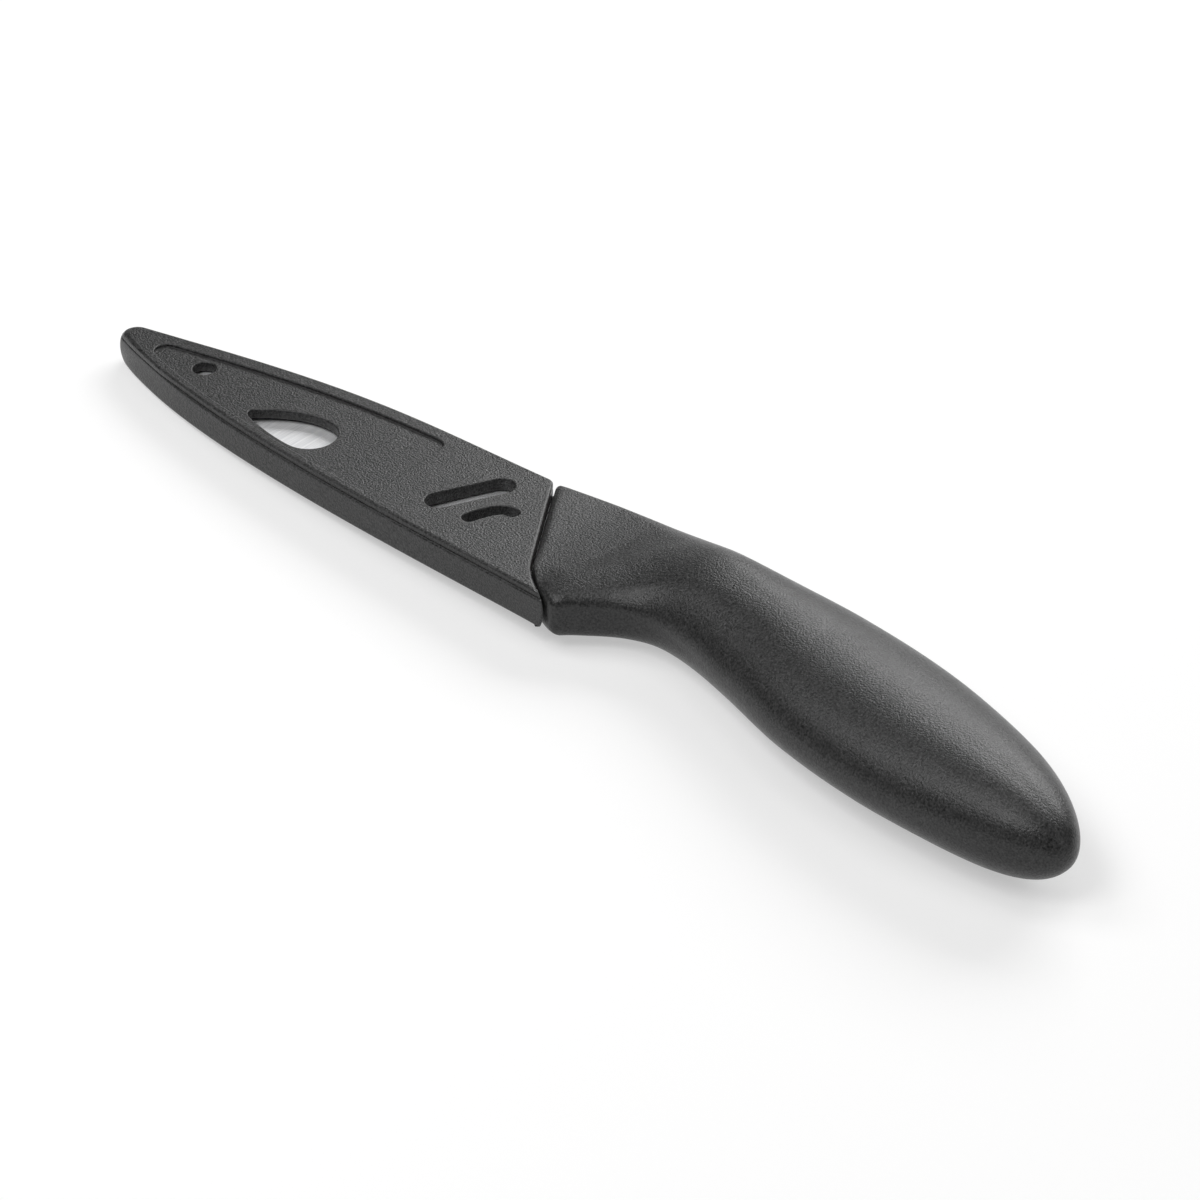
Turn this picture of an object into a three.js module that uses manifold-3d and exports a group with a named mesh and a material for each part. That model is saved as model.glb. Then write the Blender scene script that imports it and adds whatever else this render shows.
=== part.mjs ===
// Kitchen utility knife lying on its side with a push-on sheath over the blade.
// Millimetres. +X runs from the sheath's nose to the handle's butt, +Y from the cutting edge to the
// spine, +Z up. The pieces are drawn in the knife's own frame: x = 0 at the front spine corner of the
// handle, y = 0 on the sheath's spine at its mouth, z = 0 in the middle plane of the blade.
// At the end the whole knife is tilted the little that lets it rest on the sheath's nose and the grip.

import * as THREE from "three";
import { mergeVertices } from "three/addons/utils/BufferGeometryUtils.js";
import Module from "manifold-3d";

const wasm = await Module();
wasm.setup();

// Fits
const SEAT_GAP = 0.3; // between pieces that rest against each other
const MOUTH_GAP = 0.5; // between the sheath's mouth and the handle, along x

// Sheath
const SHEATH_LENGTH = 82.5; // nose of the top face to the handle's front spine corner
const SHEATH_WIDTH = 25; // spine to belly at the mouth
const SHEATH_WALL = 2; // side walls of the tray
const SHEATH_FLOOR = 2.1; // floor of the tray
const COVER_THICKNESS = 2.1;
const COVER_LEDGE = 0.3; // width of the tray's rim left bare along the cover's belly edge
const LEDGE_FULL = 62; // how far in front of x = 0 it starts to fade out
const LEDGE_FADE = 8;
const NOSE_RADIUS = 2.05;
const NOSE_DROP = 14.65; // centre of the nose below the spine's mouth corner
const NOSE_BULGE = 2.1; // how far the nose rounds out in front of the top face, at mid height
const NOSE_BULGE_RUN = 10.5; // stretch over which the bulge grows
const TOE_BULGE = 1.1; // the same at the belly corner of the mouth, backwards
const TOE_BULGE_RUN = 6;
const SPINE_MOUTH_SLOPE = radians(3.8);
const SPINE_NOSE_SLOPE = radians(16.4);
const SPINE_PULL = { mouth: 0.33, nose: 0.52 }; // how far each end's direction holds, of the run
const BELLY_MOUTH_SLOPE = radians(1.4);
const BELLY_NOSE_SLOPE = radians(23.8);
const BELLY_PULL = { mouth: 0.2, nose: 0.24 };
const SHEATH_SPINE_CORNER = 1; // rounding of the mouth's corners, seen from above
const SHEATH_BELLY_CORNER = 0.8;

// Slanted joint between sheath and handle: straight, with a toe that sweeps back at the belly
const JOINT_SLANT = radians(36);
const TOE_SLANT = radians(60);
const HANDLE_TOE_SLANT = radians(65.5); // the handle's side of the joint leaves room for the bulge
const TOE_RISE = 3.05; // height above the belly where the straight line would turn into the toe

// Sunk panel on the cover
const PANEL_DEPTH = 0.5;
const PANEL_FLOOR = 0.3; // least thickness left under the panel, where it runs out over the tray's rim
const PANEL_SPINE_BAND = 2.6; // plain band left along the spine
const PANEL_BELLY_BAND = 1.75; // and along the belly
const PANEL_NOSE_BAND = 7.1;
const PANEL_REAR = 20.2; // rear edge at the spine, in front of x = 0
const PANEL_REAR_SLANT = radians(6);
const PANEL_CORNER = 2.5;

// Openings through the cover
const HOLE_RADIUS = 1.9;
const HOLE_FROM_NOSE = 17;
const HOLE_ABOVE_NOSE = 0.3;
const LEAF_RADIUS = 4.6;
const LEAF_LENGTH = 16.4;
const LEAF_CENTRE = 38.8; // centre of its round end, in front of x = 0
const LEAF_ABOVE_BELLY = 7.5;
const LEAF_TIP_DROP = 2.2;
const LEAF_TIP_RADIUS = 0.8;
const LEAF_UPPER_PULL = { round: 0.42, tip: 0.28, height: 0.9 }; // fullness of its upper side
const LEAF_LOWER_PULL = 0.45; // and of its lower side
const LONG_SLOT_RADIUS = 2.15;
const LONG_SLOT_FROM = [-9.4, -4.15]; // x, and height from the middle of the sheath's width
const LONG_SLOT_TO = [-5.2, 5.65];
const HOOK_SLOT_RADIUS = 1.2;
const HOOK_SLOT_FROM = [-2.4, -4.35];
const HOOK_SLOT_BEND = [-1.2, 1.3];
const HOOK_SLOT_TO = [1.4, 1.25];

// Blade
const BLADE_THICKNESS = 1.4;
const BLADE_MARGIN = 0.5; // between the blade's outline and the sheath's walls
const BLADE_CLEARANCE = 0.3; // above and below the blade inside the sheath
const CUTTING_EDGE_THICKNESS = 0.25;
const GRIND_HEIGHT = 11; // height of the ground flanks above the cutting edge
const GRIND_LIMIT = 0.85; // of the blade's height, where it narrows to the tip
const TIP_HEIGHT = 0.6; // height at which the blade's point is blunted off
const HEEL_BEFORE_TOE = 2.2; // the blade's full height ends this far in front of the toe's end
const TANG_WIDTH = 10;
const TANG_MIDDLE = -9.6;
const TANG_END = 78;
const TANG_HOLE_RADIUS = 2.1;
const TANG_HOLES = [46, 64];

// Handle
const HANDLE_LENGTH = 121;
const HANDLE_HALF_THICKNESS = 8; // at the fullest part of the grip
const HANDLE_FRONT_CORNER = 2; // rounding of the front spine corner, seen from above
const HANDLE_EDGE_RADIUS = 0.9; // along the flat front part
const BOLSTER = 14.5; // length of the flat front part along the spine
const TOE_HALF_LENGTH = 3.3; // of the toe's bulge at the belly
const TOE_FULLEST = 1.9; // its lowest point, behind the joint's end
const TOE_DROP = 0.4; // its lowest point, above the sheath's belly
const TOE_DROP_ENDS = 1.8; // and the two ends of the bulge
const BUTT_LENGTH = 29.1; // stretch over which the butt rounds off
const BUTT_FULLNESS = 2.9; // power of the butt's rounding, 2 for an ellipse
const GRIP_SKIN = 3.4; // thickness of the outer moulding around the core
const CORE_BEHIND_TOE = 12.8; // front end of the core
const CORE_BEFORE_BUTT = 18; // rear end of the core
const CORE_ROUNDNESS = 0.98; // of its section, 1 for a full oval
const PEG_REACH = 2; // how far the core's pegs reach below the middle plane

// Fineness of the meshes
const CURVE_STEPS = 16;
const SECTION_STEPS = 7; // per quarter of the handle's section
const STATION_STEP = 5; // along the grip
const TOE_STATION_STEP = 2.5; // along the front of the handle, where its outline turns most
const BUTT_STEPS = 10;
const TRAY_STEPS = 6; // up the tray's side, for the bulge of the nose
const COVER_STEPS = 4; // up the cover's edge
const BLUNT = 0.02; // size at which a pointed or domed end is closed off
const MERGE_WITHIN = 1e-4; // corners nearer than this are one corner
const HALVINGS = 40; // steps of a search by halving
const PAST = 40; // how far cutters run past what they cut
const BLOCK = 300; // size of a block that keeps one side of a plane

// Derived places
const TOP = (SHEATH_FLOOR + BLADE_THICKNESS + 2 * BLADE_CLEARANCE + COVER_THICKNESS) / 2;
const COVER_FLANGE = PANEL_DEPTH + PANEL_FLOOR; // the part of the cover that laps over the tray's rim
const RIM = TOP - COVER_FLANGE - SEAT_GAP; // top of the tray's walls
const COVER_UNDERSIDE = TOP - COVER_THICKNESS;
const TRAY_FLOOR = -TOP + SHEATH_FLOOR;
const HALF_BLADE = BLADE_THICKNESS / 2;
const BLADE_INSET = SHEATH_WALL + BLADE_MARGIN;
const NOSE_CENTRE = new THREE.Vector2(NOSE_RADIUS - SHEATH_LENGTH, -NOSE_DROP);
const MIDDLE = -SHEATH_WIDTH / 2;
const TOE = jointPoints(0, TOE_SLANT).end;
const HEEL = TOE.x - HEEL_BEFORE_TOE;
const CORE_START = TOE.x + CORE_BEHIND_TOE;
const CORE_END = HANDLE_LENGTH - CORE_BEFORE_BUTT;

// Handle outline: x, then height
const SPINE_LINE = smoothLine([
  [0, 0.1], [BOLSTER, 2.7], [alongGrip(0.08), 4.2], [alongGrip(0.22), 4.9], [alongGrip(0.41), 5.2],
  [alongGrip(0.61), 2.8], [alongGrip(0.81), -2.8], [alongGrip(1), -9.4],
]);
const BELLY_LINE = smoothLine([
  [TOE.x - TOE_HALF_LENGTH, TOE.y + TOE_DROP_ENDS], [TOE.x + TOE_FULLEST, TOE.y + TOE_DROP],
  [TOE.x + TOE_HALF_LENGTH, TOE.y + TOE_DROP_ENDS], [alongGrip(0.09), -18.3],
  [alongGrip(0.15), -16.3], [alongGrip(0.22), -16.9], [alongGrip(0.32), -19.7],
  [alongGrip(0.47), -24.1], [alongGrip(0.64), -26.4], [alongGrip(0.83), -26.2], [alongGrip(1), -26.3],
]);
// How much of the way from the sheath's thickness to the grip's full thickness
const SWELL = smoothLine([
  [0, 0], [BOLSTER, 0.04], [alongGrip(0.09), 0.39], [alongGrip(0.27), 0.82], [alongGrip(0.52), 1],
  [alongGrip(0.79), 0.98], [alongGrip(1), 0.9],
]);
// How far each side of the section has turned from a flat bar with a rounded edge into an oval
const SPINE_OVALNESS = smoothLine([
  [0, 0], [BOLSTER, 0.07], [alongGrip(0.13), 0.5], [alongGrip(0.33), 0.95], [alongGrip(1), 0.97],
]);
const BELLY_OVALNESS = smoothLine([
  [alongGrip(0.01), 0.02], [alongGrip(0.09), 0.36], [alongGrip(0.13), 0.5], [alongGrip(0.33), 0.95],
  [alongGrip(1), 0.97],
]);

const plasticMaterial = new THREE.MeshStandardMaterial({ color: 0x2e2e2f, roughness: 0.62, metalness: 0 });
const corePlasticMaterial = new THREE.MeshStandardMaterial({ color: 0x3a3a3b, roughness: 0.5, metalness: 0 });
const steelMaterial = new THREE.MeshStandardMaterial({ color: 0xc9ccd0, roughness: 0.28, metalness: 1 });

function radians(degrees) {
  return THREE.MathUtils.degToRad(degrees);
}

// x at a share of the way from the toe to the butt
function alongGrip(share) {
  return THREE.MathUtils.lerp(TOE.x, HANDLE_LENGTH, share);
}

// A smooth curve through points whose x increases, as a function of x
function smoothLine(points) {
  const slopeAt = (i) => {
    const before = points[Math.max(i - 1, 0)];
    const after = points[Math.min(i + 1, points.length - 1)];
    return (after[1] - before[1]) / (after[0] - before[0]);
  };
  return (x) => {
    const clamped = THREE.MathUtils.clamp(x, points[0][0], points[points.length - 1][0]);
    const last = points.length - 2;
    const i = Math.min(Math.max(points.findIndex((point) => point[0] > clamped) - 1, 0), last);
    const start = clamped >= points[last + 1][0] ? last : i;
    const [x0, y0] = points[start];
    const [x1, y1] = points[start + 1];
    const run = x1 - x0;
    const u = (clamped - x0) / run;
    const rise = u * u * (3 - 2 * u);
    const leave = u * (1 - u) * (1 - u);
    const arrive = u * u * (u - 1);
    return y0 + (y1 - y0) * rise + run * (leave * slopeAt(start) + arrive * slopeAt(start + 1));
  };
}

// Solids

function toSolid(geometry) {
  const bare = geometry.index ? geometry.toNonIndexed() : geometry.clone();
  bare.deleteAttribute("normal");
  bare.deleteAttribute("uv");
  const merged = mergeVertices(bare, MERGE_WITHIN);
  return new wasm.Manifold(
    new wasm.Mesh({
      numProp: 3,
      vertProperties: new Float32Array(merged.attributes.position.array),
      triVerts: new Uint32Array(merged.index.array),
    }),
  );
}

function toMesh(name, solid, material) {
  const { vertProperties, triVerts } = solid.getMesh();
  const geometry = new THREE.BufferGeometry();
  geometry.setAttribute("position", new THREE.BufferAttribute(vertProperties, 3));
  geometry.setIndex(new THREE.BufferAttribute(triVerts, 1));
  geometry.computeVertexNormals();
  const mesh = new THREE.Mesh(geometry, material);
  mesh.name = name;
  return mesh;
}

// A plan outline raised between two heights
function slab(shape, bottom, top) {
  const options = { depth: top - bottom, bevelEnabled: false, curveSegments: CURVE_STEPS };
  const geometry = new THREE.ExtrudeGeometry(shape, options);
  return toSolid(geometry.translate(0, 0, bottom));
}

function upright(radius, x, y, bottom, top) {
  const shape = new THREE.Shape();
  shape.absarc(x, y, radius, 0, 2 * Math.PI);
  return slab(shape, bottom, top);
}

function bar(length, width, x, y, bottom, top) {
  const shape = new THREE.Shape([
    new THREE.Vector2(x - length / 2, y - width / 2),
    new THREE.Vector2(x + length / 2, y - width / 2),
    new THREE.Vector2(x + length / 2, y + width / 2),
    new THREE.Vector2(x - length / 2, y + width / 2),
  ]);
  return slab(shape, bottom, top);
}

// A skin over rings of equally many points, closed by a fan at each end
function loft(rings) {
  const size = rings[0].length;
  const positions = [];
  const middleOf = (ring) => {
    const sum = ring.reduce((total, point) => total.add(point), new THREE.Vector3());
    return sum.divideScalar(ring.length);
  };
  const face = (a, b, c) => {
    for (const point of [a, b, c]) {
      positions.push(point.x, point.y, point.z);
    }
  };
  const first = rings[0];
  const last = rings[rings.length - 1];
  for (let j = 0; j < size; j++) {
    const next = (j + 1) % size;
    face(middleOf(first), first[next], first[j]);
    face(middleOf(last), last[j], last[next]);
    for (let i = 0; i + 1 < rings.length; i++) {
      face(rings[i][j], rings[i][next], rings[i + 1][j]);
      face(rings[i][next], rings[i + 1][next], rings[i + 1][j]);
    }
  }
  const geometry = new THREE.BufferGeometry();
  geometry.setAttribute("position", new THREE.Float32BufferAttribute(positions, 3));
  return toSolid(geometry);
}

// Sheath outline

// The joint's line; shift moves it along x towards the nose
function jointPoints(shift, toeSlant) {
  const bendY = -SHEATH_WIDTH + TOE_RISE;
  const bend = new THREE.Vector2(-bendY * Math.tan(JOINT_SLANT) - shift, bendY);
  const start = new THREE.Vector2(-(bendY + TOE_RISE) * Math.tan(JOINT_SLANT) - shift, bendY + TOE_RISE);
  const end = new THREE.Vector2(bend.x + TOE_RISE * Math.tan(toeSlant), -SHEATH_WIDTH);
  return { start, bend, end };
}

const spineMouthCorner = new THREE.Vector2(-MOUTH_GAP, 0);
const bellyMouthCorner = jointPoints(MOUTH_GAP, TOE_SLANT).end;

function spineCurve() {
  const run = SHEATH_LENGTH;
  const mouthWay = new THREE.Vector2(-Math.cos(SPINE_MOUTH_SLOPE), -Math.sin(SPINE_MOUTH_SLOPE));
  const noseWay = new THREE.Vector2(Math.cos(SPINE_NOSE_SLOPE), Math.sin(SPINE_NOSE_SLOPE));
  const start = spineMouthCorner.clone().addScaledVector(mouthWay, SHEATH_SPINE_CORNER);
  const end = new THREE.Vector2(-noseWay.y, noseWay.x).multiplyScalar(NOSE_RADIUS).add(NOSE_CENTRE);
  return new THREE.CubicBezierCurve(
    start,
    start.clone().addScaledVector(mouthWay, run * SPINE_PULL.mouth),
    end.clone().addScaledVector(noseWay, run * SPINE_PULL.nose),
    end,
  );
}

function bellyCurve() {
  const run = SHEATH_LENGTH + bellyMouthCorner.x;
  const mouthWay = new THREE.Vector2(-Math.cos(BELLY_MOUTH_SLOPE), Math.sin(BELLY_MOUTH_SLOPE));
  const noseWay = new THREE.Vector2(Math.cos(BELLY_NOSE_SLOPE), -Math.sin(BELLY_NOSE_SLOPE));
  const start = bellyMouthCorner.clone().addScaledVector(mouthWay, SHEATH_BELLY_CORNER);
  const end = new THREE.Vector2(noseWay.y, -noseWay.x).multiplyScalar(NOSE_RADIUS).add(NOSE_CENTRE);
  return new THREE.CubicBezierCurve(
    start,
    start.clone().addScaledVector(mouthWay, run * BELLY_PULL.mouth),
    end.clone().addScaledVector(noseWay, run * BELLY_PULL.nose),
    end,
  );
}

const spine = spineCurve();
const belly = bellyCurve();

// Height and slope of one of the sheath's long curves at x, carried on straight past its ends
function curveAt(curve, x) {
  let low = 0;
  let high = 1;
  for (let step = 0; step < HALVINGS; step++) {
    const middle = (low + high) / 2;
    if (curve.getPoint(middle).x > x) {
      low = middle;
    } else {
      high = middle;
    }
  }
  const point = curve.getPoint(low);
  const tangent = curve.getTangent(low);
  const slope = tangent.y / tangent.x;
  return { height: point.y + slope * (x - point.x), slope };
}

function insetSpine(x, inset) {
  const { height, slope } = curveAt(spine, x);
  return height - inset * Math.hypot(1, slope);
}

function insetBelly(x, inset) {
  const { height, slope } = curveAt(belly, x);
  return height + inset * Math.hypot(1, slope);
}

// Where the outline, drawn in by two insets, has narrowed to a given height near the nose
function narrowedAt(spineInset, bellyInset, height) {
  let low = -SHEATH_LENGTH;
  let high = 0;
  for (let step = 0; step < HALVINGS; step++) {
    const middle = (low + high) / 2;
    if (insetSpine(middle, spineInset) - insetBelly(middle, bellyInset) > height) {
      high = middle;
    } else {
      low = middle;
    }
  }
  return high;
}

// Stations from near the nose backwards, closer together where the outline turns most
function stations(from, to, count) {
  const places = [];
  for (let i = 0; i <= count; i++) {
    const u = i / count;
    places.push(from + (to - from) * u * (1 + u) / 2);
  }
  return places;
}

function sheathOutline() {
  const joint = jointPoints(MOUTH_GAP, TOE_SLANT);
  const turn = spineMouthCorner.clone();
  turn.x += SHEATH_SPINE_CORNER * Math.sin(JOINT_SLANT);
  turn.y -= SHEATH_SPINE_CORNER * Math.cos(JOINT_SLANT);
  const toeTurn = bellyMouthCorner.clone();
  toeTurn.x -= SHEATH_BELLY_CORNER * Math.sin(TOE_SLANT);
  toeTurn.y += SHEATH_BELLY_CORNER * Math.cos(TOE_SLANT);
  const spineEnd = spine.v3.clone().sub(NOSE_CENTRE).angle();
  const bellyEnd = belly.v3.clone().sub(NOSE_CENTRE).angle();
  const shape = new THREE.Shape();
  shape.moveTo(turn.x, turn.y);
  shape.quadraticCurveTo(spineMouthCorner.x, spineMouthCorner.y, spine.v0.x, spine.v0.y);
  shape.bezierCurveTo(spine.v1.x, spine.v1.y, spine.v2.x, spine.v2.y, spine.v3.x, spine.v3.y);
  shape.absarc(NOSE_CENTRE.x, NOSE_CENTRE.y, NOSE_RADIUS, spineEnd, bellyEnd, false);
  shape.bezierCurveTo(belly.v2.x, belly.v2.y, belly.v1.x, belly.v1.y, belly.v0.x, belly.v0.y);
  shape.quadraticCurveTo(bellyMouthCorner.x, bellyMouthCorner.y, toeTurn.x, toeTurn.y);
  shape.quadraticCurveTo(joint.bend.x, joint.bend.y, joint.start.x, joint.start.y);
  return shape;
}

// How far a point at x moves along x for the bulge of the sheath's ends, at a height
function endBulge(x, height) {
  const { smoothstep } = THREE.MathUtils;
  const nose = NOSE_BULGE * smoothstep(-x, SHEATH_LENGTH - NOSE_BULGE_RUN, SHEATH_LENGTH);
  const toe = TOE_BULGE * smoothstep(x, bellyMouthCorner.x - TOE_BULGE_RUN, bellyMouthCorner.x);
  return (toe - nose) * Math.sqrt(Math.max(1 - (height / TOP) ** 2, 0));
}

// The sheath's outline raised between two heights, with the bulge of its ends
function sheathBlock(bottom, top, steps) {
  const points = sheathOutline().getPoints(CURVE_STEPS);
  const outline = points.filter((point, i) => point.distanceTo(points.at(i - 1)) > MERGE_WITHIN);
  const rings = [];
  for (let i = 0; i <= steps; i++) {
    const z = THREE.MathUtils.lerp(bottom, top, i / steps);
    rings.push(outline.map(({ x, y }) => new THREE.Vector3(x + endBulge(x, z), y, z)));
  }
  return loft(rings);
}

// Everything above the line that the cover's belly edge keeps to: inside the tray's rim, past it at the nose
function aboveLedge() {
  const places = stations(-SHEATH_LENGTH - PAST, bellyMouthCorner.x + PAST, 2 * CURVE_STEPS);
  const ledge = (x) => COVER_LEDGE * (1 - (Math.max(-x - LEDGE_FULL, 0) / LEDGE_FADE) ** 2);
  const line = places.map((x) => new THREE.Vector2(x, insetBelly(x, ledge(x))));
  const above = [places[places.length - 1], places[0]].map((x) => new THREE.Vector2(x, PAST));
  return slab(new THREE.Shape([...line, ...above]), -PAST, PAST);
}

// The sheath's outline drawn in by the same inset all round, pointed at the nose and open at the mouth
function insetOutline(inset) {
  const nose = narrowedAt(inset, inset, BLUNT);
  const places = stations(nose, bellyMouthCorner.x + PAST, 2 * CURVE_STEPS);
  const upper = places.map((x) => new THREE.Vector2(x, insetSpine(x, inset)));
  const lower = places.map((x) => new THREE.Vector2(x, insetBelly(x, inset)));
  return new THREE.Shape([...lower, ...upper.reverse()]);
}

// Cover and tray

function panelOutline() {
  const nose = PANEL_NOSE_BAND - SHEATH_LENGTH;
  const lean = Math.tan(PANEL_REAR_SLANT);
  const rearSpine = new THREE.Vector2(-PANEL_REAR, insetSpine(-PANEL_REAR, PANEL_SPINE_BAND));
  const rearBelly = new THREE.Vector2();
  rearBelly.y = insetBelly(-PANEL_REAR, PANEL_BELLY_BAND);
  rearBelly.x = rearSpine.x + (rearSpine.y - rearBelly.y) * lean;
  const noseSpineY = insetSpine(nose, PANEL_SPINE_BAND);
  const noseBellyY = insetBelly(nose, PANEL_BELLY_BAND);
  const noseRound = (noseSpineY - noseBellyY) / 2;
  const places = stations(nose + noseRound, -PANEL_REAR - PANEL_CORNER, CURVE_STEPS);
  const cornerLean = PANEL_CORNER * lean;
  const shape = new THREE.Shape();
  shape.moveTo(places[0], insetBelly(places[0], PANEL_BELLY_BAND));
  for (const x of places.slice(1)) {
    shape.lineTo(x, insetBelly(x, PANEL_BELLY_BAND));
  }
  shape.lineTo(rearBelly.x - PANEL_CORNER, rearBelly.y);
  shape.quadraticCurveTo(rearBelly.x, rearBelly.y, rearBelly.x - cornerLean, rearBelly.y + PANEL_CORNER);
  shape.lineTo(rearSpine.x + cornerLean, rearSpine.y - PANEL_CORNER);
  const spineTurn = places[places.length - 1];
  shape.quadraticCurveTo(rearSpine.x, rearSpine.y, spineTurn, insetSpine(spineTurn, PANEL_SPINE_BAND));
  for (const x of places.slice(0, -1).reverse()) {
    shape.lineTo(x, insetSpine(x, PANEL_SPINE_BAND));
  }
  const noseMiddle = (noseSpineY + noseBellyY) / 2;
  shape.quadraticCurveTo(nose, noseSpineY, nose, noseMiddle);
  shape.quadraticCurveTo(nose, noseBellyY, places[0], insetBelly(places[0], PANEL_BELLY_BAND));
  return shape;
}

function leafOutline() {
  const x = -LEAF_CENTRE;
  const y = curveAt(belly, x).height + LEAF_ABOVE_BELLY;
  const taper = LEAF_LENGTH - LEAF_RADIUS;
  const tip = new THREE.Vector2(x - taper, y - LEAF_TIP_DROP);
  const round = LEAF_TIP_RADIUS;
  const shape = new THREE.Shape();
  shape.moveTo(x, y - LEAF_RADIUS);
  shape.absarc(x, y, LEAF_RADIUS, -Math.PI / 2, Math.PI / 2, false);
  shape.bezierCurveTo(
    x - taper * LEAF_UPPER_PULL.round, y + LEAF_RADIUS,
    tip.x + taper * LEAF_UPPER_PULL.tip, tip.y + LEAF_RADIUS * LEAF_UPPER_PULL.height,
    tip.x, tip.y + round,
  );
  shape.quadraticCurveTo(tip.x - round / 2, tip.y, tip.x + round, tip.y - round);
  shape.quadraticCurveTo(x - taper * LEAF_LOWER_PULL, y - LEAF_RADIUS, x, y - LEAF_RADIUS);
  return shape;
}

// A slot with round ends along a centre line
function slotOutline(curve, radius) {
  const outline = [];
  const addSide = (from, to, side) => {
    for (let i = 0; i <= CURVE_STEPS; i++) {
      const t = from + (to - from) * (i / CURVE_STEPS);
      const tangent = curve.getTangent(t);
      const normal = new THREE.Vector2(-tangent.y, tangent.x).multiplyScalar(side * radius);
      outline.push(curve.getPoint(t).add(normal));
    }
  };
  const addEnd = (t, way) => {
    const centre = curve.getPoint(t);
    const ahead = curve.getTangent(t).multiplyScalar(way).angle();
    for (let i = 1; i < CURVE_STEPS; i++) {
      const angle = ahead - Math.PI / 2 + Math.PI * (i / CURVE_STEPS);
      outline.push(new THREE.Vector2(Math.cos(angle), Math.sin(angle)).multiplyScalar(radius).add(centre));
    }
  };
  addSide(0, 1, -1);
  addEnd(1, 1);
  addSide(1, 0, 1);
  addEnd(0, -1);
  return new THREE.Shape(outline);
}

function fromMiddle([x, height]) {
  return new THREE.Vector2(x, MIDDLE + height);
}

function coverOpenings() {
  const bottom = COVER_UNDERSIDE - SEAT_GAP;
  const hole = upright(
    HOLE_RADIUS, HOLE_FROM_NOSE - SHEATH_LENGTH, HOLE_ABOVE_NOSE - NOSE_DROP, bottom, TOP + PAST,
  );
  const longSlot = new THREE.LineCurve(fromMiddle(LONG_SLOT_FROM), fromMiddle(LONG_SLOT_TO));
  const hookSlot = new THREE.QuadraticBezierCurve(
    fromMiddle(HOOK_SLOT_FROM), fromMiddle(HOOK_SLOT_BEND), fromMiddle(HOOK_SLOT_TO),
  );
  return hole
    .add(slab(leafOutline(), bottom, TOP + PAST))
    .add(slab(slotOutline(longSlot, LONG_SLOT_RADIUS), bottom, TOP + PAST))
    .add(slab(slotOutline(hookSlot, HOOK_SLOT_RADIUS), bottom, TOP + PAST));
}

function makeSheathCover() {
  const flange = sheathBlock(TOP - COVER_FLANGE, TOP, COVER_STEPS).intersect(aboveLedge());
  const spigot = slab(insetOutline(SHEATH_WALL + SEAT_GAP), COVER_UNDERSIDE, TOP - COVER_FLANGE / 2)
    .intersect(slab(sheathOutline(), COVER_UNDERSIDE - PAST, TOP));
  const solid = flange
    .add(spigot)
    .subtract(slab(panelOutline(), TOP - PANEL_DEPTH, TOP + PAST))
    .subtract(coverOpenings());
  return toMesh("sheath_cover", solid, plasticMaterial);
}

function makeSheathTray() {
  const block = sheathBlock(-TOP, RIM, TRAY_STEPS);
  const cavity = slab(insetOutline(SHEATH_WALL), TRAY_FLOOR, TOP + PAST);
  return toMesh("sheath_tray", block.subtract(cavity), plasticMaterial);
}

// Blade

// The blade's full height from point to heel; grow makes the pocket that it fits in
function bladeBody(grow) {
  const tip = narrowedAt(BLADE_INSET, BLADE_INSET, TIP_HEIGHT);
  const places = stations(tip - grow, HEEL + grow, CURVE_STEPS);
  const thick = HALF_BLADE + grow;
  const thin = CUTTING_EDGE_THICKNESS / 2 + grow;
  return loft(
    places.map((x) => {
      const inside = Math.max(x, tip);
      const back = insetSpine(inside, BLADE_INSET) + grow;
      const edge = insetBelly(inside, BLADE_INSET) - grow;
      const shoulder = edge + Math.min(GRIND_HEIGHT, (back - edge) * GRIND_LIMIT);
      return [
        new THREE.Vector3(x, edge, -thin),
        new THREE.Vector3(x, shoulder, -thick),
        new THREE.Vector3(x, back, -thick),
        new THREE.Vector3(x, back, thick),
        new THREE.Vector3(x, shoulder, thick),
        new THREE.Vector3(x, edge, thin),
      ];
    }),
  );
}

// The tang's bar with a round end; grow makes the pocket that it fits in
function tangBar(grow) {
  const radius = TANG_WIDTH / 2 + grow;
  const roundCentre = TANG_END - TANG_WIDTH / 2;
  const shape = new THREE.Shape();
  shape.moveTo(HEEL / 2, TANG_MIDDLE - radius);
  shape.lineTo(roundCentre, TANG_MIDDLE - radius);
  shape.absarc(roundCentre, TANG_MIDDLE, radius, -Math.PI / 2, Math.PI / 2, false);
  shape.lineTo(HEEL / 2, TANG_MIDDLE + radius);
  return slab(shape, -HALF_BLADE - grow, HALF_BLADE + grow);
}

function tangHoles(radius, bottom, top) {
  const holes = TANG_HOLES.map((x) => upright(radius, x, TANG_MIDDLE, bottom, top));
  return holes.reduce((joined, hole) => joined.add(hole));
}

function makeBlade() {
  const solid = bladeBody(0).add(tangBar(0)).subtract(tangHoles(TANG_HOLE_RADIUS, -PAST, PAST));
  return toMesh("blade", solid, steelMaterial);
}

// Handle

function buttRounding(x) {
  const u = Math.max((x - (HANDLE_LENGTH - BUTT_LENGTH)) / BUTT_LENGTH, 0);
  return Math.sqrt(Math.max(1 - u ** BUTT_FULLNESS, 0));
}

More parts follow.
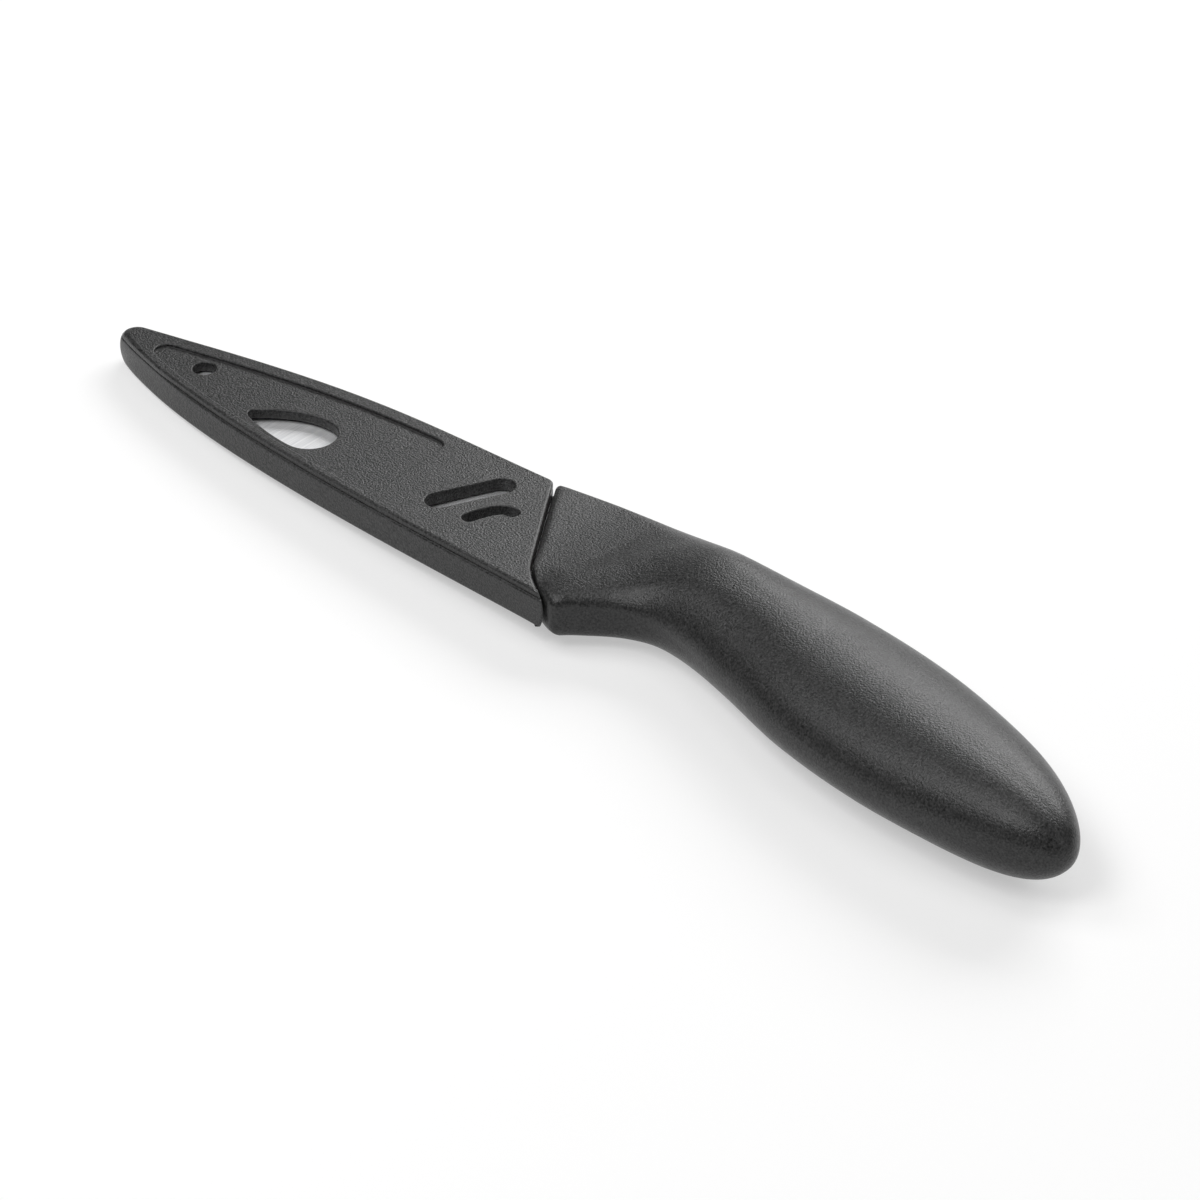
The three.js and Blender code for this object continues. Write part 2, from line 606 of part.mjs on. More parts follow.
// Middle, half width, half thickness and edge radii of the handle's section at x
function handleSection(x) {
  const intoCorner = Math.max(HANDLE_FRONT_CORNER - x, 0);
  const cornerDrop = HANDLE_FRONT_CORNER - Math.sqrt(HANDLE_FRONT_CORNER ** 2 - intoCorner ** 2);
  const upper = SPINE_LINE(x) - cornerDrop;
  const lower = BELLY_LINE(x);
  const rounding = buttRounding(x);
  const halfWidth = ((upper - lower) / 2) * rounding;
  const halfThickness = THREE.MathUtils.lerp(TOP, HANDLE_HALF_THICKNESS, SWELL(x)) * rounding;
  const edgeRadius = Math.min(HANDLE_EDGE_RADIUS, halfThickness);
  const edge = (ovalness) => {
    const oval = THREE.MathUtils.clamp(ovalness, 0, 1);
    return {
      across: THREE.MathUtils.lerp(edgeRadius, halfWidth, oval),
      up: THREE.MathUtils.lerp(edgeRadius, halfThickness, Math.sqrt(oval)),
    };
  };
  return {
    middle: (upper + lower) / 2,
    halfWidth,
    halfThickness,
    spineEdge: edge(SPINE_OVALNESS(x)),
    bellyEdge: edge(BELLY_OVALNESS(x)),
  };
}

// A bar section with elliptical edges, at x
function sectionRing(x, { middle, halfWidth, halfThickness, spineEdge, bellyEdge }) {
  const ring = [];
  for (const [wayY, wayZ, turn] of [[1, 1, 0], [-1, 1, 1], [-1, -1, 2], [1, -1, 3]]) {
    const { across, up } = wayY > 0 ? spineEdge : bellyEdge;
    for (let i = 0; i <= SECTION_STEPS; i++) {
      const angle = (turn + i / SECTION_STEPS) * (Math.PI / 2);
      const y = middle + wayY * (halfWidth - across) + across * Math.cos(angle);
      const z = wayZ * (halfThickness - up) + up * Math.sin(angle);
      ring.push(new THREE.Vector3(x, y, z));
    }
  }
  return ring;
}

function handleStations() {
  const buttStart = HANDLE_LENGTH - BUTT_LENGTH;
  const places = [0];
  const addStretch = (from, to, step) => {
    const count = Math.round((to - from) / step);
    for (let i = 1; i <= count; i++) {
      places.push(THREE.MathUtils.lerp(from, to, i / count));
    }
  };
  addStretch(0, CORE_START, TOE_STATION_STEP);
  addStretch(CORE_START, buttStart, STATION_STEP);
  for (let i = 1; i < BUTT_STEPS; i++) {
    places.push(buttStart + BUTT_LENGTH * Math.sin((i / BUTT_STEPS) * (Math.PI / 2)));
  }
  places.push(HANDLE_LENGTH - BLUNT);
  return places;
}

// Everything behind the joint's line, as a prism
function behindJoint() {
  const { start, bend, end } = jointPoints(0, HANDLE_TOE_SLANT);
  const far = HANDLE_LENGTH + PAST;
  const shape = new THREE.Shape();
  shape.moveTo(-PAST * Math.tan(JOINT_SLANT), PAST);
  shape.lineTo(start.x, start.y);
  shape.quadraticCurveTo(bend.x, bend.y, end.x, end.y);
  shape.lineTo(end.x + PAST * Math.tan(HANDLE_TOE_SLANT), end.y - PAST);
  shape.lineTo(far, end.y - PAST);
  shape.lineTo(far, PAST);
  return slab(shape, -PAST, PAST);
}

// The oval core under the grip's skin; grow makes the hollow that it fits in
function coreBody(grow) {
  const rings = [];
  const count = Math.round((CORE_END - CORE_START) / (2 * STATION_STEP));
  for (let i = 0; i <= count; i++) {
    const x = CORE_START - grow + (CORE_END - CORE_START + 2 * grow) * (i / count);
    const outer = handleSection(x);
    const halfWidth = outer.halfWidth - GRIP_SKIN + grow;
    const halfThickness = outer.halfThickness - GRIP_SKIN + grow;
    const edge = { across: halfWidth * CORE_ROUNDNESS, up: halfThickness * CORE_ROUNDNESS };
    const section = { middle: outer.middle, halfWidth, halfThickness, spineEdge: edge, bellyEdge: edge };
    rings.push(sectionRing(x, section));
  }
  return loft(rings);
}

function makeHandleGrip() {
  const outside = loft(handleStations().map((x) => sectionRing(x, handleSection(x))));
  const solid = outside
    .intersect(behindJoint())
    .subtract(bladeBody(SEAT_GAP))
    .subtract(tangBar(SEAT_GAP))
    .subtract(coreBody(SEAT_GAP));
  return toMesh("handle_grip", solid, plasticMaterial);
}

// Half of the core on one side of the middle plane
function coreHalf(bottom, top) {
  const side = bar(BLOCK, BLOCK, CORE_START, TANG_MIDDLE, bottom, top);
  return coreBody(0).intersect(side).subtract(tangBar(SEAT_GAP));
}

function makeCoreUpper() {
  const pegs = tangHoles(TANG_HOLE_RADIUS - SEAT_GAP, -PEG_REACH, PEG_REACH);
  return toMesh("handle_core_upper", coreHalf(SEAT_GAP / 2, PAST).add(pegs), corePlasticMaterial);
}

function makeCoreLower() {
  const sockets = tangHoles(TANG_HOLE_RADIUS, -PEG_REACH - SEAT_GAP, PAST);
  return toMesh("handle_core_lower", coreHalf(-PAST, -SEAT_GAP / 2).subtract(sockets), corePlasticMaterial);
}

// Resting on its side: the tangent from the sheath's nose to the underside of the grip
function restTilt() {
  const tilts = handleStations().map((x) => {
    return Math.atan2(handleSection(x).halfThickness - TOP, x + SHEATH_LENGTH);
  });
  return Math.max(...tilts);
}

const knife = new THREE.Group();
knife.add(
  makeBlade(),
  makeCoreUpper(),
  makeCoreLower(),
  makeHandleGrip(),
  makeSheathTray(),
  makeSheathCover(),
);
knife.rotation.y = -restTilt();
knife.updateMatrixWorld(true);

// The origin is under the middle of the box around the resting knife
const box = new THREE.Box3().setFromObject(knife, true);
const centre = box.getCenter(new THREE.Vector3());
knife.position.set(-centre.x, -centre.y, -box.min.z);

const model = new THREE.Group();
model.add(knife);
model.updateMatrixWorld(true);

export default model;
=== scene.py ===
"""Looks of the sheathed kitchen knife: finer meshes over the CAD frame, materials, light and camera.

Shapes are written in millimetres in the knife's own frame, as in the CAD source: x = 0 at the front spine
corner of the handle, y = 0 on the sheath's spine at its mouth, z = 0 in the blade's middle plane. PLACE
then carries them into the shared frame, in metres.
"""
import math

import bmesh
import bpy
import numpy as np
from mathutils import Matrix, Vector


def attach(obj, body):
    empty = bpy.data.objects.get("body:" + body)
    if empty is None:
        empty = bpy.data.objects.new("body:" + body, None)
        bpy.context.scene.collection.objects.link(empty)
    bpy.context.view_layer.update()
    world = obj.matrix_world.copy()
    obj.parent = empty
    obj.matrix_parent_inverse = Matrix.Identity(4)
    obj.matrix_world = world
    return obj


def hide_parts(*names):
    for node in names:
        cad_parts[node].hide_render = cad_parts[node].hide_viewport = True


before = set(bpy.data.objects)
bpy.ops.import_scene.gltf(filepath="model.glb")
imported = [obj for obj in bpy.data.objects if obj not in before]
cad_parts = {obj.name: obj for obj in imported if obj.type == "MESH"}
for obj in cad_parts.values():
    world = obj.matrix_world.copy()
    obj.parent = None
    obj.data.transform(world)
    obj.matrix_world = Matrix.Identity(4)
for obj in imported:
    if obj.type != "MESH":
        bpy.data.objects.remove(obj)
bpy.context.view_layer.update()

# Where the resting knife's own frame lies in the shared frame
MM = 0.001
REST_TILT = math.radians(-1.84988)
KNIFE_ORIGIN = Vector((-18.18609, 10.59436, 5.76155))
PLACE = Matrix.Translation(KNIFE_ORIGIN * MM) @ Matrix.Rotation(REST_TILT, 4, "Y") @ Matrix.Scale(MM, 4)

# Fits
SEAT_GAP = 0.3
MOUTH_GAP = 0.5

# Sheath
SHEATH_LENGTH = 82.5
SHEATH_WIDTH = 25.0
SHEATH_WALL = 2.0
NOSE_RADIUS = 2.05
NOSE_DROP = 14.65
NOSE_BULGE = 2.1  # how far the nose rounds out in front of the top face, at mid height
NOSE_BULGE_RUN = 10.5
TOE_BULGE = 1.1  # the same at the belly corner of the mouth, backwards
TOE_BULGE_RUN = 6.0
SPINE_SLOPES = (math.radians(3.8), math.radians(16.4))  # at the mouth, at the nose
SPINE_PULLS = (0.33, 0.52)
BELLY_SLOPES = (math.radians(1.4), math.radians(23.8))
BELLY_PULLS = (0.2, 0.24)
SPINE_CORNER = 1.0
BELLY_CORNER = 0.8
JOINT_SLANT = math.tan(math.radians(36))
TOE_SLANT = math.tan(math.radians(60))
HANDLE_TOE_SLANT = math.tan(math.radians(65.5))
TOE_RISE = 3.05
TOP = 3.1
COVER_LIP = 2.1  # underside of the cover's edge
COVER_UNDERSIDE = 1.0
COVER_LEDGE = 0.3  # width of the tray's rim left bare along the cover's belly edge
LEDGE_FULL = 62.0  # how far in front of x = 0 the ledge starts to fade out
LEDGE_FADE = 8.0
RIM = 2.0
TRAY_FLOOR = -1.0
MOUTH_STEP = 0.05  # how far the cover's lower part stays inside the mouth

# Sunk panel and openings
PANEL_DEPTH = 0.5
PANEL_BANDS = (2.6, 1.75)  # along the spine, along the belly
PANEL_NOSE_BAND = 7.1
PANEL_REAR = 20.2
PANEL_REAR_LEAN = math.tan(math.radians(6))
PANEL_CORNER = 2.5
HOLE_RADIUS = 1.9
HOLE_FROM_NOSE = 17.0
HOLE_ABOVE_NOSE = 0.3
LEAF_RADIUS = 4.6
LEAF_LENGTH = 16.4
LEAF_CENTRE = 38.8
LEAF_ABOVE_BELLY = 7.5
LEAF_TIP_DROP = 2.2
LEAF_TIP_RADIUS = 0.8
LEAF_UPPER_PULLS = (0.42, 0.28, 0.9)  # of its upper side: at the round end, at the tip, in height
LEAF_LOWER_PULL = 0.45
LONG_SLOT_RADIUS = 2.15
LONG_SLOT_LINE = ((-9.4, -16.65), (-5.2, -6.85))
HOOK_SLOT_RADIUS = 1.2
HOOK_SLOT_LINE = ((-2.4, -16.85), (-1.2, -11.2), (1.4, -11.25))

# Roundings of the moulded edges
COVER_EDGE = 0.4
PANEL_EDGE = 0.25
PANEL_FOOT = 0.06
OPENING_EDGE = 0.22
SEAM_EDGE = 0.06
TRAY_RIM_EDGE = 0.35
TRAY_BOTTOM_EDGE = 0.4
HANDLE_FRONT_EDGE = 1.2
TOE_FRONT_EDGE = 0.35
TOE_EDGE_FROM = -0.2  # where the front edge starts to tighten, from 1 at the spine to -1 at the toe

# Blade
HALF_BLADE = 0.7
BLADE_INSET = 2.5
HALF_CUTTING_EDGE = 0.03
BEVEL_HEIGHT = 0.6
HALF_BEVEL = 0.15
GRIND_HEIGHT = 11.0
TIP_HEIGHT = 0.6
SPINE_EASE = 0.15
BEVEL_LIMIT = 0.25  # the most of the blade's height that each of these takes, near the point
GRIND_LIMIT = 0.85
SPINE_EASE_LIMIT = 0.125
HEEL_BEFORE_TOE = 2.2
TANG_WIDTH = 10.0
TANG_MIDDLE = -9.6
TANG_END = 78.0
TANG_HOLE_RADIUS = 2.1
TANG_HOLES = (46.0, 64.0)

# Handle
HANDLE_LENGTH = 121.0
HANDLE_HALF_THICKNESS = 8.0
HANDLE_FRONT_CORNER = 2.0
HANDLE_EDGE_RADII = (0.9, 1.5)  # along the spine, along the belly
BOLSTER = 14.5
TOE_HALF_LENGTH = 3.3
TOE_FULLEST = 1.9
TOE_DROP = 0.4
TOE_DROP_ENDS = 1.8
BUTT_LENGTH = 29.1
BUTT_FULLNESS = (2.9, 4.2)  # across, in thickness
NECK_FALL_POWER = 1.5  # how slowly the fall of the neck's top sets in
COLLAR_REACH = 0.45  # how far the low collar round the blade stands out into the gap at the mouth
COLLAR_HEIGHTS = (1.25, 1.1)  # where its slope starts on the handle's front, where it ends
COLLAR_ROOT = 1.0
COLLAR_ENDS = (-1.2, -22.6)  # along the joint, at the spine and at the belly
GRIP_SKIN = 3.4
CORE_BEHIND_TOE = 12.8
CORE_BEFORE_BUTT = 18.0

# Fineness
EDGE_STEPS = 5  # across a rounded edge
CURVE_STEPS = 48  # along a long curve
ARC_STEPS = 24  # along a short curve
BULGE_STEPS = 5  # up each half of the tray's side
SECTION_STEPS = 14  # per quarter of the handle's section
FLAT_STEPS = 24  # across the flat of the handle's top
SIDE_STEPS = 8  # up the flat of the handle's side
FRONT_END = 50.0  # where the handle's stations stop fanning out from the slanted joint
FRONT_STEPS = 46  # from the joint to there
GRIP_STEPS = 44  # from there to the butt
BUTT_STEPS = 34
CORE_STEPS = 16
SUPPORT = 0.04  # narrow flat strip that keeps a flat face's shading flat
HALVINGS = 40  # steps of a search by halving
BLUNT = 0.02  # what is left where a shape would run out to nothing
PAST = 5.0  # how far a search or a cut reaches past what it is for
WELD = 1e-4  # points nearer to each other than this are one
SHARP_ANGLE = math.radians(34)  # edges that turn further are shaded sharp

# Black plastics: darkest and lightest grey of the grain, roughness, depth of the grain in metres
SHEATH_PLASTIC = (0.004, 0.068, 0.34, 0.0001)
GRIP_PLASTIC = (0.004, 0.066, 0.34, 0.00009)
CORE_PLASTIC = (0.044, 0.055, 0.42, 0.00001)
PLASTIC_IOR = 1.5
PLASTIC_GLOSS = 0.38
MOTTLE_DEPTH = 0.03  # how far the mottle moves the roughness either way
# Edges painted lighter, partly as rubbed wear and partly as a painted highlight along the rims: their
# grey, and how the edges are found
WORN_AND_HIGHLIT_EDGE = (0.06, 0.06, 0.061)
WEAR_AND_HIGHLIGHT_RADIUS = 0.0003
WEAR_AND_HIGHLIGHT_SAMPLES = 4
WEAR_AND_HIGHLIGHT_TURNS = (0.97, 0.8)  # how alike the normals are where the lighter edge (rubbed wear and painted highlight) starts, where an edge has it in full

# Steel
STEEL_SHADES = ((0.75, 0.755, 0.765), (0.93, 0.932, 0.936))
STEEL_ROUGHNESS = (0.6, 0.68)
LINE_SCALES = (5000, 120, 300)  # of the grinding lines: along the blade, across it, in its thickness
LINE_STRENGTH = 0.2
LINE_DEPTH = 0.000002

# Noises: scale per metre, detail, roughness
GRAIN_NOISE = (3000, 2.0, 0.6)
MOTTLE_NOISE = (420, 4.0, 0.6)
LINE_NOISE = (1.0, 3.0, 0.6)  # on top of LINE_SCALES
STEEL_CLOUD_NOISE = (130, 3.0, 0.5)
FLOOR_CLOUD_NOISE = (2.0, 2.0, 0.5)
NOISE_RANGE = (0.3, 0.7)  # where most of a noise's values lie

# Stage, in metres
FLOOR_SIZE = 6.0
FLOOR_DROP = 0.00005  # keeps the floor just clear of the knife
FLOOR_GREYS = (0.54, 0.57)
FLOOR_ROUGHNESS = 0.9
FLOOR_LIFT = 0.47  # light that lifts the floor to white where it shows as the background
WORLD_FILL = 0.03
LAMP_DISTANCE = 1.0
LAMP_HEIGHT = 0.45
# Soft boxes: azimuth from +Y towards +X and elevation in degrees, width, radiance
LAMPS = {
    "back_box": (-16, 33, 0.9, 5.8),
    "top_box": (0, 84, 0.45, 1.6),
    "left_box": (-120, 56, 0.45, 3.4),
    "front_box": (180, 56, 0.45, 5.8),
    "right_box": (80, 30, 0.45, 1.6),
}

# Camera, fitted to the photograph, in the knife's own frame; angles as for the lamps
CAMERA_AZIMUTH = 136
CAMERA_ELEVATION = 33.2
CAMERA_TARGET = Vector((28.55, -19.67, 3.1))
CAMERA_DISTANCE = 911.7
CAMERA_LENS = 180
CAMERA_SENSOR = 36


# Plan curves

def bezier(controls, steps):
    """Points along a Bezier curve, both ends included."""
    along = np.linspace(0, 1, steps + 1)[:, None]
    layers = [np.array(control, float) + 0 * along for control in controls]
    while len(layers) > 1:
        layers = [a * (1 - along) + b * along for a, b in zip(layers, layers[1:])]
    return layers[0]


def arc(centre, radius, start, end, steps):
    angles = np.linspace(start, end, steps + 1)
    return np.array(centre) + radius * np.stack([np.cos(angles), np.sin(angles)], axis=1)


def joined(*stretches):
    """One closed outline out of stretches that meet end to end."""
    points = np.concatenate(stretches)
    apart = np.linalg.norm(points - np.roll(points, 1, axis=0), axis=1) > WELD
    return points[apart]


def inset(outline, distance):
    """A closed outline drawn in by a distance, or let out where it is negative."""
    edges = outline - np.roll(outline, 1, axis=0)
    normals = np.stack([-edges[:, 1], edges[:, 0]], axis=1)
    normals /= np.linalg.norm(normals, axis=1)[:, None]
    both = normals + np.roll(normals, -1, axis=0)
    return outline + 2 * distance * both / (both ** 2).sum(axis=1)[:, None]


def joint_points(shift, slant=TOE_SLANT):
    """Start, bend and end of the toe on the slanted joint, moved along x towards the nose."""
    bend_y = TOE_RISE - SHEATH_WIDTH
    start = np.array([-(bend_y + TOE_RISE) * JOINT_SLANT - shift, bend_y + TOE_RISE])
    bend = np.array([-bend_y * JOINT_SLANT - shift, bend_y])
    end = np.array([bend[0] + TOE_RISE * slant, -SHEATH_WIDTH])
    return start, bend, end


def joint_x(y, slant=TOE_SLANT):
    """x of the slanted joint at a height."""
    start, bend, end = joint_points(0, slant)
    t = np.clip((start[1] - y) / (2 * TOE_RISE), 0, 1)
    toe = (1 - t) ** 2 * start[0] + 2 * t * (1 - t) * bend[0] + t ** 2 * end[0]
    below = np.maximum(end[1] - y, 0) * slant
    return np.where(y > start[1], -y * JOINT_SLANT, toe + below)


NOSE_CENTRE = np.array([NOSE_RADIUS - SHEATH_LENGTH, -NOSE_DROP])
SPINE_MOUTH = np.array([-MOUTH_GAP, 0.0])
BELLY_MOUTH = joint_points(MOUTH_GAP)[2]
TOE = joint_points(0)[2]
HEEL = TOE[0] - HEEL_BEFORE_TOE


def long_curve(mouth, corner, slopes, pulls, side):
    """Controls of the sheath's spine (side 1) or belly (side -1), from the mouth to the nose."""
    run = SHEATH_LENGTH + max(mouth[0], 0)
    mouth_way = np.array([-math.cos(slopes[0]), -side * math.sin(slopes[0])])
    nose_way = np.array([math.cos(slopes[1]), side * math.sin(slopes[1])])
    start = mouth + corner * mouth_way
    end = NOSE_CENTRE + side * NOSE_RADIUS * np.array([-nose_way[1], nose_way[0]])
    return start, start + run * pulls[0] * mouth_way, end + run * pulls[1] * nose_way, end


SPINE = long_curve(SPINE_MOUTH, SPINE_CORNER, SPINE_SLOPES, SPINE_PULLS, 1)
BELLY = long_curve(BELLY_MOUTH, BELLY_CORNER, BELLY_SLOPES, BELLY_PULLS, -1)


def inset_height(controls, side, x, distance):
    """Height at x of the spine (side 1) or belly (side -1), drawn in; straight beyond its ends."""
    points = bezier(controls, 8 * CURVE_STEPS)[::-1]
    slopes = np.gradient(points[:, 1], points[:, 0])
    inside = np.clip(x, points[0, 0], points[-1, 0])
    slope = np.interp(inside, points[:, 0], slopes)
    height = np.interp(inside, points[:, 0], points[:, 1]) + slope * (x - inside)
    return height - side * distance * np.hypot(1, slope)


def spine_height(x, distance):
    return inset_height(SPINE, 1, x, distance)


def belly_height(x, distance):
    return inset_height(BELLY, -1, x, distance)


def halved(low, high, is_low):
    """The place between low and high where a test stops being true."""
    for _ in range(HALVINGS):
        middle = (low + high) / 2
        test = is_low(middle)
        low, high = np.where(test, middle, low), np.where(test, high, middle)
    return high


def narrowed_at(distance, height):
    """x near the nose where the outline, drawn in by a distance, is as narrow as a height."""
    def too_narrow(x):
        return spine_height(x, distance) - belly_height(x, distance) < height
    return float(halved(np.array(-SHEATH_LENGTH), np.array(0.0), too_narrow))


def mouth_at(height_at, distance, shift):
    """x where the spine or belly, drawn in by a distance, meets the mouth."""
    def before_mouth(x):
        return x < joint_x(height_at(x, distance)) - shift
    return float(halved(np.array(-2 * PAST), np.array(TOE[0] + PAST), before_mouth))


def mouth_corner(height_at, ledge):
    x = mouth_at(height_at, ledge, MOUTH_GAP)
    return np.array([x, float(height_at(x, ledge))])


def mouth_stretch(start, end, shift, steps):
    heights = np.linspace(start, end, steps + 1)
    return np.stack([joint_x(heights) - shift, heights], axis=1)


def nose_shares(steps):
    """Shares from 0 at the nose to 1 at the rear, closer together at the nose."""
    share = np.linspace(0, 1, steps + 1)
    return share * (1 + share) / 2


def pocket_path(distance, shift):
    """Inside of the outline from the belly at the mouth round the nose to the spine at the mouth."""
    nose = narrowed_at(distance, BLUNT)
    share = nose_shares(CURVE_STEPS)
    lower_x = nose + (mouth_at(belly_height, distance, shift) - nose) * share
    upper_x = nose + (mouth_at(spine_height, distance, shift) - nose) * share
    lower = np.stack([lower_x, belly_height(lower_x, distance)], axis=1)
    upper = np.stack([upper_x, spine_height(upper_x, distance)], axis=1)
    return np.concatenate([lower[::-1], upper])


def drawn_in(controls, ledge):
    """A long curve of the sheath, drawn in by a ledge that fades out towards the nose."""
    points = bezier(controls, CURVE_STEPS)
    ways = np.gradient(points, axis=0)
    normals = np.stack([-ways[:, 1], ways[:, 0]], axis=1) / np.linalg.norm(ways, axis=1)[:, None]
    fading = np.maximum(-points[:, 0] - LEDGE_FULL, 0) / LEDGE_FADE
    return points + normals * (ledge * np.clip(1 - fading ** 2, 0, 1))[:, None]


def sheath_shell(ledge=0.0):
    """The outline from the spine's mouth corner round the nose to the belly's, the belly in by a ledge."""
    spine, belly = bezier(SPINE, CURVE_STEPS), drawn_in(BELLY[::-1], ledge)
    spine_corner, belly_corner = SPINE_MOUTH, mouth_corner(belly_height, ledge)
    turn_y = spine_corner[1] - SPINE_CORNER * math.cos(math.atan(JOINT_SLANT))
    toe_y = belly_corner[1] + BELLY_CORNER * math.cos(math.atan(TOE_SLANT))
    turn, toe_turn = mouth_stretch(turn_y, toe_y, MOUTH_GAP, 1)
    spine_end = SPINE[3] - NOSE_CENTRE
    belly_end = BELLY[3] - NOSE_CENTRE
    nose_from = math.atan2(spine_end[1], spine_end[0])
    nose_to = math.atan2(belly_end[1], belly_end[0]) + 2 * math.pi
    return np.concatenate([
        bezier((turn, spine_corner, spine[0]), EDGE_STEPS),
        spine,
        arc(NOSE_CENTRE, NOSE_RADIUS, nose_from, nose_to, ARC_STEPS),
        belly,
        bezier((belly[-1], belly_corner, toe_turn), EDGE_STEPS),
    ])


def mouth_parts(shell, pocket):
    """The mouth's edge in three stretches: belly lip, opening, spine lip."""
    low, high = pocket[0, 1], pocket[-1, 1]
    return (
        mouth_stretch(shell[-1, 1], low, MOUTH_GAP, EDGE_STEPS),
        mouth_stretch(low, high, MOUTH_GAP, ARC_STEPS),
        mouth_stretch(high, shell[0, 1], MOUTH_GAP, EDGE_STEPS),
    )


def cover_outline():
    shell = sheath_shell(COVER_LEDGE)
    return joined(shell, *mouth_parts(shell, pocket_path(SHEATH_WALL, MOUTH_GAP)))


def smooth_step(value, start, end):
    share = np.clip((value - start) / (end - start), 0, 1)
    return share ** 2 * (3 - 2 * share)


def ends_bulged(outline, height):
    """An outline at a height, with the bulge of the sheath's nose and of its toe."""
    x = outline[:, 0]
    nose = NOSE_BULGE * smooth_step(-x, SHEATH_LENGTH - NOSE_BULGE_RUN, SHEATH_LENGTH)
    toe = TOE_BULGE * smooth_step(x, BELLY_MOUTH[0] - TOE_BULGE_RUN, BELLY_MOUTH[0])
    fullness = math.sqrt(max(1 - (height / TOP) ** 2, 0))
    return outline + np.outer(fullness * (toe - nose), (1, 0))


def spigot_outline():
    """The cover's lower part, which drops in between the tray's walls."""
    shift = MOUTH_GAP + MOUTH_STEP
    path = pocket_path(SHEATH_WALL + SEAT_GAP, shift)
    return joined(path, mouth_stretch(path[-1, 1], path[0, 1], shift, ARC_STEPS))[::-1]


def panel_outline():
    nose = PANEL_NOSE_BAND - SHEATH_LENGTH
    spine_band, belly_band = PANEL_BANDS
    rear_spine = np.array([-PANEL_REAR, spine_height(-PANEL_REAR, spine_band)])
    rear_belly = np.array([0.0, belly_height(-PANEL_REAR, belly_band)])
    rear_belly[0] = rear_spine[0] + (rear_spine[1] - rear_belly[1]) * PANEL_REAR_LEAN
    nose_high, nose_low = spine_height(nose, spine_band), belly_height(nose, belly_band)
    nose_round = (nose_high - nose_low) / 2
    x = np.linspace(nose + nose_round, -PANEL_REAR - PANEL_CORNER, CURVE_STEPS)
    lower = np.stack([x, belly_height(x, belly_band)], axis=1)
    upper = np.stack([x, spine_height(x, spine_band)], axis=1)[::-1]
    corner = np.array([-PANEL_CORNER * PANEL_REAR_LEAN, PANEL_CORNER])
    straight = np.array([PANEL_CORNER, 0.0])
    nose_middle = (nose, (nose_high + nose_low) / 2)
    return joined(
        lower,
        bezier((rear_belly - straight, rear_belly, rear_belly + corner), ARC_STEPS),
        bezier((rear_spine - corner, rear_spine, upper[0]), ARC_STEPS),
        upper,
        bezier((upper[-1], (nose, nose_high), nose_middle), ARC_STEPS),
        bezier((nose_middle, (nose, nose_low), lower[0]), ARC_STEPS),
    )


def leaf_outline():
    x = -LEAF_CENTRE
    y = belly_height(x, 0) + LEAF_ABOVE_BELLY
    taper = LEAF_LENGTH - LEAF_RADIUS
    tip_x, tip_y = x - taper, y - LEAF_TIP_DROP
    small = LEAF_TIP_RADIUS
    round_pull, tip_pull, height_pull = LEAF_UPPER_PULLS
    upper = (
        (x, y + LEAF_RADIUS),
        (x - round_pull * taper, y + LEAF_RADIUS),
        (tip_x + tip_pull * taper, tip_y + height_pull * LEAF_RADIUS),
        (tip_x, tip_y + small),
    )
    tip = (upper[-1], (tip_x - small / 2, tip_y), (tip_x + small, tip_y - small))
    lower = (tip[-1], (x - LEAF_LOWER_PULL * taper, y - LEAF_RADIUS), (x, y - LEAF_RADIUS))
    return joined(
        arc((x, y), LEAF_RADIUS, -math.pi / 2, math.pi / 2, ARC_STEPS),
        bezier(upper, ARC_STEPS),
        bezier(tip, EDGE_STEPS),
        bezier(lower, ARC_STEPS),
    )


def slot_outline(line, radius):
    """A slot with round ends along a centre line."""
    centres = bezier(line, ARC_STEPS)
    ways = np.gradient(centres, axis=0)
    ways /= np.linalg.norm(ways, axis=1)[:, None]
    across = radius * np.stack([-ways[:, 1], ways[:, 0]], axis=1)
    far = math.atan2(ways[-1, 1], ways[-1, 0])
    near = math.atan2(-ways[0, 1], -ways[0, 0])
    quarter = math.pi / 2
    return joined(
        centres - across,
        arc(centres[-1], radius, far - quarter, far + quarter, ARC_STEPS),
        (centres + across)[::-1],
        arc(centres[0], radius, near - quarter, near + quarter, ARC_STEPS),
    )


def hole_outline():
    centre = (HOLE_FROM_NOSE - SHEATH_LENGTH, HOLE_ABOVE_NOSE - NOSE_DROP)
    return joined(arc(centre, HOLE_RADIUS, 0, 2 * math.pi, 2 * ARC_STEPS))


# Skins

def add_ring(skin, outline, height):
    return [skin.verts.new((x, y, height)) for x, y in outline]


def bridge(skin, ring, other):
    for i, corner in enumerate(ring):
        skin.faces.new((ring[i - 1], corner, other[i], other[i - 1]))


def fill(skin, *rings):
    """Closes the flat face between an outer ring and the rings of its openings."""
    edges = []
    for ring in rings:
        for i, corner in enumerate(ring):
            pair = (ring[i - 1], corner)
            edges.append(skin.edges.get(pair) or skin.edges.new(pair))
    bmesh.ops.triangle_fill(skin, edges=edges, use_beauty=True)


def plain(outline, height):
    return outline


def wall(skin, outline, profile, shaped=plain):
    """Skins an outline, shaped by height, over (inset, height) steps; returns its first and last ring."""
    rings = [add_ring(skin, shaped(inset(outline, drawn), height), height) for drawn, height in profile]
    for ring, other in zip(rings, rings[1:]):
        bridge(skin, ring, other)
    return rings[0], rings[-1]


